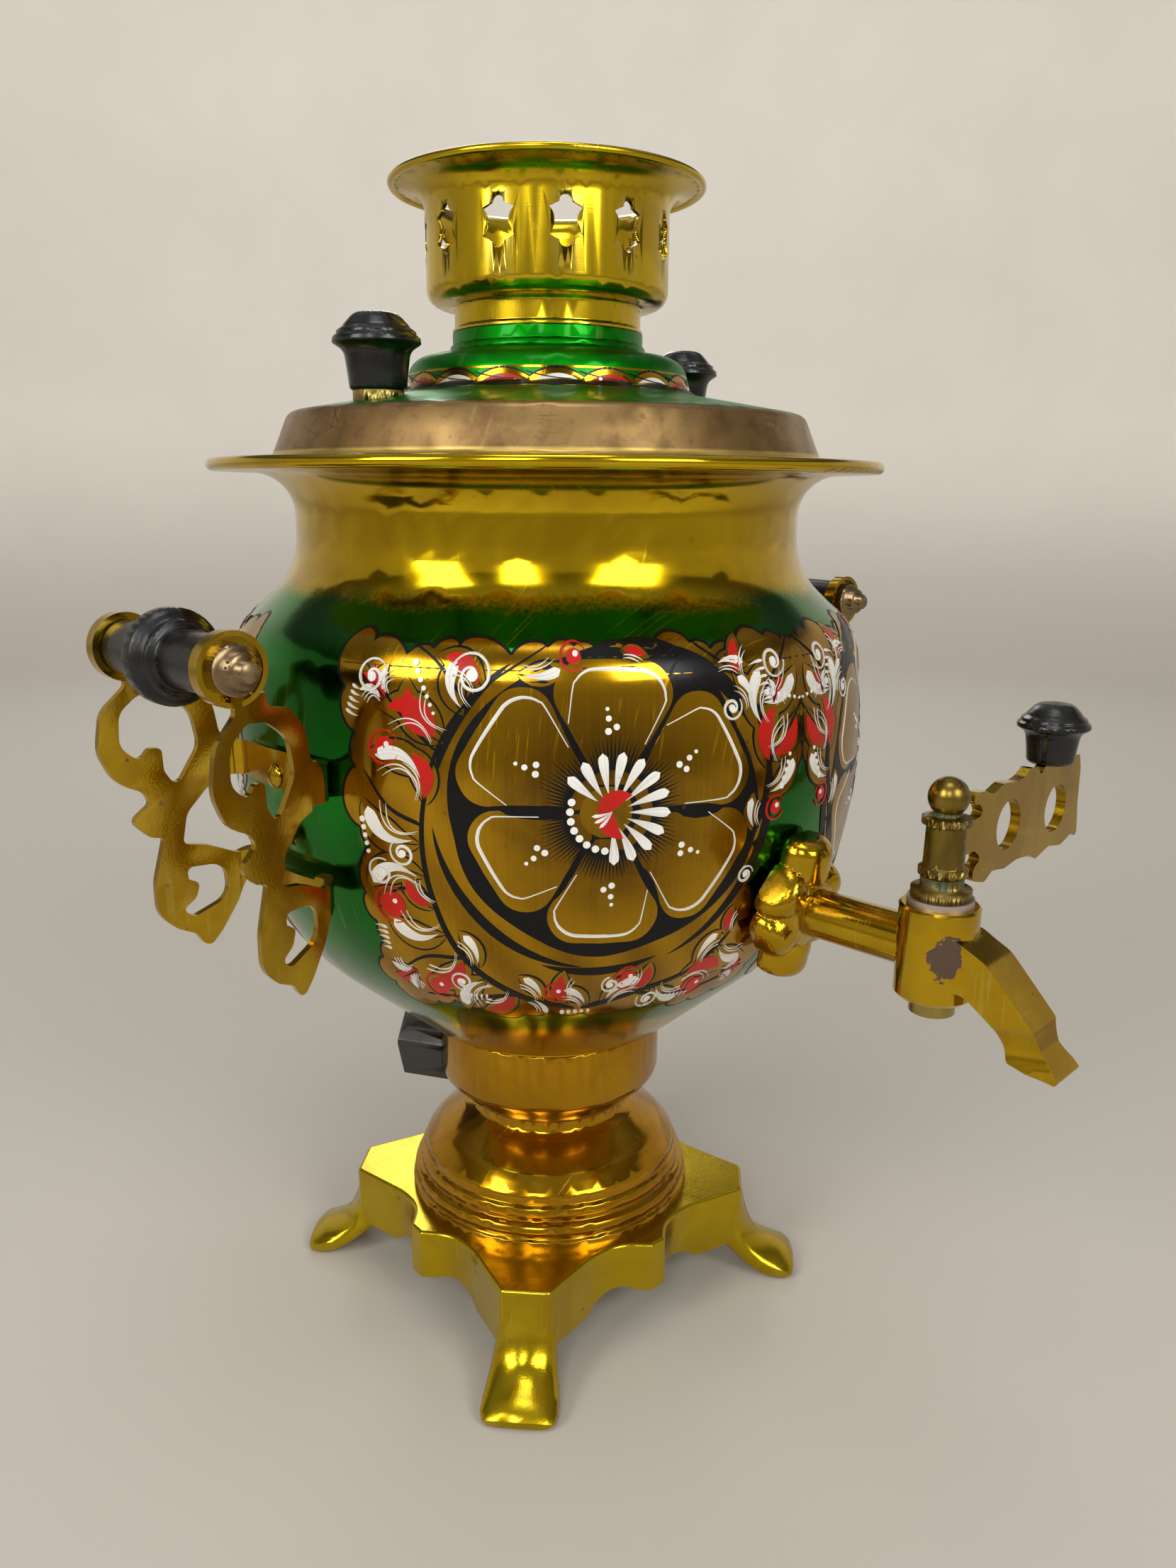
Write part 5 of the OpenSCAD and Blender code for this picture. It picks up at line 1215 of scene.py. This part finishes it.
COMBS = (                    # start, angle, step, count and length
    ((44, 224), -64, 2.0, 6, 5.4), ((-60, 156), -82, 1.7, 5, 4.0), ((-38, 133), 8, 1.7, 6, 3.8),
    ((-60, 212), 84, 1.7, 5, 4.2), ((28, 130), 4, 1.7, 6, 3.4))
DOTS = (                     # start, angle and count
    ((-44, 226), -66, 7), ((50, 217), -12, 7), ((-6, 129.5), 2, 5), ((55, 192), 70, 5),
    ((-59, 186), -84, 5))


def clouded(q: np.ndarray) -> np.ndarray:
    """Returns a tone that runs in slanting bands over the ground."""
    return np.clip(0.2 + 0.8 * np.sin(q[:, 0] * 0.16 + q[:, 1] * 0.11) ** 2, 0, 1)


def belly_panel(skin: Skin) -> Painter:
    """Paints one panel of the belly.

    Args:
        skin: the belly, with the panel's middle azimuth.

    Returns:
        The painter with its films.
    """
    p = Painter("belly", skin, 7)
    ground = p.scalloped(BORDER, 3.4, 10.5)
    p.black.shape(grown(ground, 0.8), GROUND - 0.03, grid=2.6)
    p.gold.shape(ground, GROUND, clouded, grid=2.2)
    for start, end, half in CRESCENTS:
        p.black.stroke(arc(HEART, start, end), leaf_width(half), SHADE + 0.02)
    Flower(HEART).paint(p)
    for tail, stems in ((1.1, MAIN_STEMS), (0.6, SIDE_STEMS)):
        for points in stems:
            p.stem(points, tail, 0.2)
    for colour, *sprig in SPRIGS:
        p.sprig(getattr(p, colour), *sprig)
    for draw, rows in ((p.tulip, TULIPS), (p.curl, CURLS), (p.berry, BERRIES), (p.comb, COMBS),
                       (p.dots, DOTS)):
        for row in rows:
            draw(*row)
    return p


BAND_LEAVES = 18
RIM_DROPS = 42


def lid_band(skin: Skin, start: float, end: float) -> Painter:
    """Paints the band of running leaves round the lid's raised centre.

    Args:
        skin: the lid, measured along its outline.
        start: where the band starts on the outline.
        end: where it ends.

    Returns:
        The painter with its films.
    """
    p = Painter("lid_band", skin, 3)
    around = 2 * math.pi * skin.radius
    pitch = around / BAND_LEAVES
    middle, half = (start + end) / 2, (end - start) / 2
    for i in range(BAND_LEAVES):
        x = i * pitch
        line = bent((x - pitch * 0.12, middle - half * 0.4), 2.5, pitch * 1.16, half * 0.28)
        p.black.stroke(line, rimmed_width(half * 1.02, 0.5), GROUND)
        p.gold.stroke(line, leaf_width(half * 0.98), SHADE, tones=(0.5, 1.0))
        film = p.white if i % 2 else p.red
        film.stroke(bent((x + pitch * 0.08, middle - half * 0.3), 4, pitch * 0.78, half * 0.15),
                    leaf_width(half * 0.5), LEAF, seed=i * 0.37)
        p.black.stroke(bent((x - pitch * 0.1, middle + half * 0.75), -9, pitch * 0.9, -half * 0.2),
                       line_width(0.2, 0.1), LINE)
        if i % 3 == 0:
            p.white.dot((x + pitch * 0.3, middle + 0.1), 0.5, STROKE)
    for height in (start - 0.25, end + 0.4):
        ring = np.array([(x, height) for x in np.linspace(0, around, 160)])
        p.gold.stroke(ring, lambda t: 0.28, GROUND, tones=(0.9, 0.9))
    return p


def rim_drops(skin: Skin) -> Painter:
    """Paints the drops on the lid's rim.

    Args:
        skin: the lid's rim, measured along its outline.

    Returns:
        The painter with its films.
    """
    p = Painter("lid_rim", skin, 5)
    around = 2 * math.pi * skin.radius
    for i in range(RIM_DROPS):
        x = around * i / RIM_DROPS
        film = (p.red, p.black, p.petal)[i % 3]
        film.stroke(bent((x, 2.2), 90, 8.6, 0.9), drop_width(1.9), LEAF, seed=i * 0.21)
        p.white.stroke(bent((x + 2.4, 3.2), 90, 5.0, -0.5), drop_width(0.42), LEAF)
    return p


# ---- sub-assemblies -------------------------------------------------------------------------------

@dataclass
class Body:
    """The vessel with its pedestal, base, handles, tap and heater.

    Each belly panel has its middle azimuth, a skin radius that is negative where the panel is a mirror
    image, and copies turned by the angles in panels. The heights in reach hold the whole belly.
    """

    shop: Workshop
    sides: tuple[tuple[str, float, float], ...] = (
        ("front_left", 232.5, 97.0), ("front_right", 307.5, -97.0))
    panels: tuple[float, ...] = (0.0, 180.0)
    reach: tuple[float, float] = (115.0, 245.0)

    def build(self) -> list[Object]:
        """Dresses every node of the fixed body and paints the belly."""
        made = self.shop.dressed_body("samovar")
        outline = rounded_line([(r, z + FOOT_Z, k) for r, z, k in VESSEL_CORNERS], 0.01)
        belly = outline[(outline[:, 1] > self.reach[0]) & (outline[:, 1] < self.reach[1])]
        for side, azimuth, radius in self.sides:
            for film in belly_panel(Skin(outline, azimuth, radius)).films():
                film.name = f"{film.name}_{side}"
                made.append(film.build(self.shop, "samovar", "vessel_lacquer", self.panels))
                turned_normals(made[-1].data, belly)
        return made


@dataclass
class Lid:
    """The lid with its knobs and painted bands."""

    shop: Workshop
    band_z: tuple[float, float] = (293.75, 298.2)
    band_r: float = 42.3
    rim_r: float = 88.0

    def build(self) -> list[Object]:
        """Dresses the lid's nodes and paints its bands."""
        made = self.shop.dressed_body("lid_group")
        outline = rounded_line([(r, z + LID_Z, k) for r, z, k in LID_CORNERS], 0.01)
        low, high = (float(np.interp(z, outline[:, 1], along(outline))) for z in self.band_z)
        for painter in (lid_band(Skin(outline, 0.0, self.band_r, True), low, high),
                        rim_drops(Skin(outline, 0.0, self.rim_r, True))):
            made += [film.build(self.shop, "lid_group", "lid_lacquer") for film in painter.films()]
        return made


@dataclass
class Fittings:
    """Pieces that move on their own bodies: the tap's key and the crown."""

    shop: Workshop
    bodies: tuple[str, ...] = ("tap_plug", "crown_group")

    def build(self) -> list[Object]:
        """Dresses the nodes of the moving bodies."""
        return [made for body in self.bodies for made in self.shop.dressed_body(body)]


# ---- studio ---------------------------------------------------------------------------------------

OBJECT = (0.0, 0.0, 0.2)     # the middle of the object, in metres
# Each lamp's name, azimuth and distance, height, size, power in watts and aim.
LAMPS = (
    ("window_left", (178, 1.3), 0.9, (0.5, 0.7), 9.0, OBJECT),
    ("window_middle", (214, 1.35), 0.95, (0.34, 0.6), 5.0, OBJECT),
    ("window_right", (262, 1.3), 0.9, (0.62, 0.6), 9.0, OBJECT),
    ("window_back", (52, 1.35), 1.1, (0.5, 0.5), 3.5, OBJECT),
    ("top", (230, 0.3), 1.7, (0.6, 0.6), 4.0, OBJECT),
    ("wall_wash", (46.5, 0.75), 1.5, (1.6, 0.3), 7.0, (1.35, 1.42, 0.55)),
)


@dataclass
class Studio:
    """A pale round cyclorama, soft lamps and the camera."""

    floor_r: float = 1.5
    bend: float = 0.5
    wall_h: float = 1.2
    pale: Colour = (0.5, 0.465, 0.41)
    wall: Colour = (0.92, 0.88, 0.8)
    mottle: Colour = (0.52, 0.48, 0.42)
    sky_low: Colour = (0.12, 0.1, 0.08)
    sky_high: Colour = (0.6, 0.6, 0.6)
    focal: float = 1661.0
    tall: float = 2212.0
    sensor: float = 36.0
    eye: tuple[float, float, float] = (0.0, -373.0, 267.25)
    turn: float = -43.5
    pitch: float = 14.13
    yaw: float = 1.96
    roll: float = 0.34

    def build(self) -> None:
        """Builds floor, lamps, world and camera."""
        self._floor()
        self._lamps()
        self._world()
        self._camera()
        bpy.context.scene.view_settings.view_transform = "Standard"

    def _floor(self) -> None:
        """Makes the cyclorama by spinning its profile."""
        profile = [(0.0, 0.0), (self.floor_r, 0.0)]
        profile += [(self.floor_r + self.bend * math.sin(a), self.bend * (1 - math.cos(a)))
                    for a in np.linspace(0.0, math.pi / 2, 13)[1:]]
        profile.append((self.floor_r + self.bend, self.wall_h))
        mesh = bpy.data.meshes.new("cyclorama")
        edges = [(i, i + 1) for i in range(len(profile) - 1)]
        mesh.from_pydata([(x, 0.0, z) for x, z in profile], edges, [])
        floor = linked("cyclorama", mesh)
        Workshop.only(floor)
        bpy.ops.object.mode_set(mode="EDIT")
        bpy.ops.mesh.select_all(action="SELECT")
        bpy.ops.mesh.spin(steps=96, angle=2 * math.pi, center=(0, 0, 0), axis=(0, 0, 1))
        bpy.ops.mesh.select_all(action="SELECT")
        bpy.ops.mesh.remove_doubles(threshold=1e-5)
        bpy.ops.mesh.normals_make_consistent(inside=True)
        bpy.ops.object.mode_set(mode="OBJECT")
        bpy.ops.object.shade_smooth()
        material, g, shader = new_material("pale_floor")
        place = g.where()
        tone = g.mix(g.remap(g.axis(place, "Z"), 0.0, 0.4), self.pale, self.wall)
        g.feed(shader, {"Base Color": g.mix(g.times(g.noise(place, 5.0, 3.0), 0.3), tone, self.mottle),
                        "Roughness": 0.85})
        floor.data.materials.append(material)

    def _lamps(self) -> None:
        """Adds the soft boxes, each turned to its aim."""
        for name, (azimuth, far), height, size, power, aim in LAMPS:
            lamp = bpy.data.lights.new(name, "AREA")
            lamp.shape, lamp.size, lamp.size_y, lamp.energy = "RECTANGLE", size[0], size[1], power
            made = linked(name, lamp)
            a = math.radians(azimuth)
            made.location = (far * math.cos(a), far * math.sin(a), height)
            made.rotation_euler = (Vector(aim) - made.location).to_track_quat("-Z", "Y").to_euler()

    def _world(self) -> None:
        """Sets an even, soft sky."""
        world = bpy.data.worlds.new("studio")
        world.use_nodes = True
        g = Graph(world.node_tree)
        back = world.node_tree.nodes["Background"]
        z = g.axis(g.add("TexCoord").outputs["Generated"], "Z")
        g.feed(back, {"Color": g.mix(g.remap(z, 0.45, 0.95), self.sky_low, self.sky_high), "Strength": 0.6})
        bpy.context.scene.world = world

    def _camera(self) -> None:
        """Sets the camera at the object's own angle."""
        yaw, pitch, roll, turn = (math.radians(v) for v in (self.yaw, self.pitch, self.roll, self.turn))
        ahead = Vector((math.sin(yaw), math.cos(yaw), 0))
        right = Vector((math.cos(yaw), -math.sin(yaw), 0))
        up = Vector((0, 0, 1))
        look = math.cos(pitch) * ahead - math.sin(pitch) * up
        top = math.sin(pitch) * ahead + math.cos(pitch) * up
        side = math.cos(roll) * right + math.sin(roll) * top
        top = -math.sin(roll) * right + math.cos(roll) * top
        spin = Matrix.Rotation(turn, 3, "Z")
        matrix = (spin @ Matrix((side, top, -look)).transposed()).to_4x4()
        matrix.translation = spin @ (Vector(self.eye) * MM)
        data = bpy.data.cameras.new("camera")
        data.sensor_width = self.sensor
        data.lens = self.focal / self.tall * self.sensor
        data.clip_start = 0.01
        camera = linked("camera", data)
        camera.matrix_world = matrix
        bpy.context.scene.camera = camera


def main() -> None:
    """Builds the samovar and its studio."""
    logging.basicConfig(level=logging.INFO, format="%(name)s: %(message)s")
    shop = Workshop()
    for assembly in (Body(shop), Lid(shop), Fittings(shop)):
        for piece in assembly.build():
            log.info("%s: %d faces", piece.name, len(piece.data.polygons))
    Studio().build()


if __name__ == "__main__":
    main()
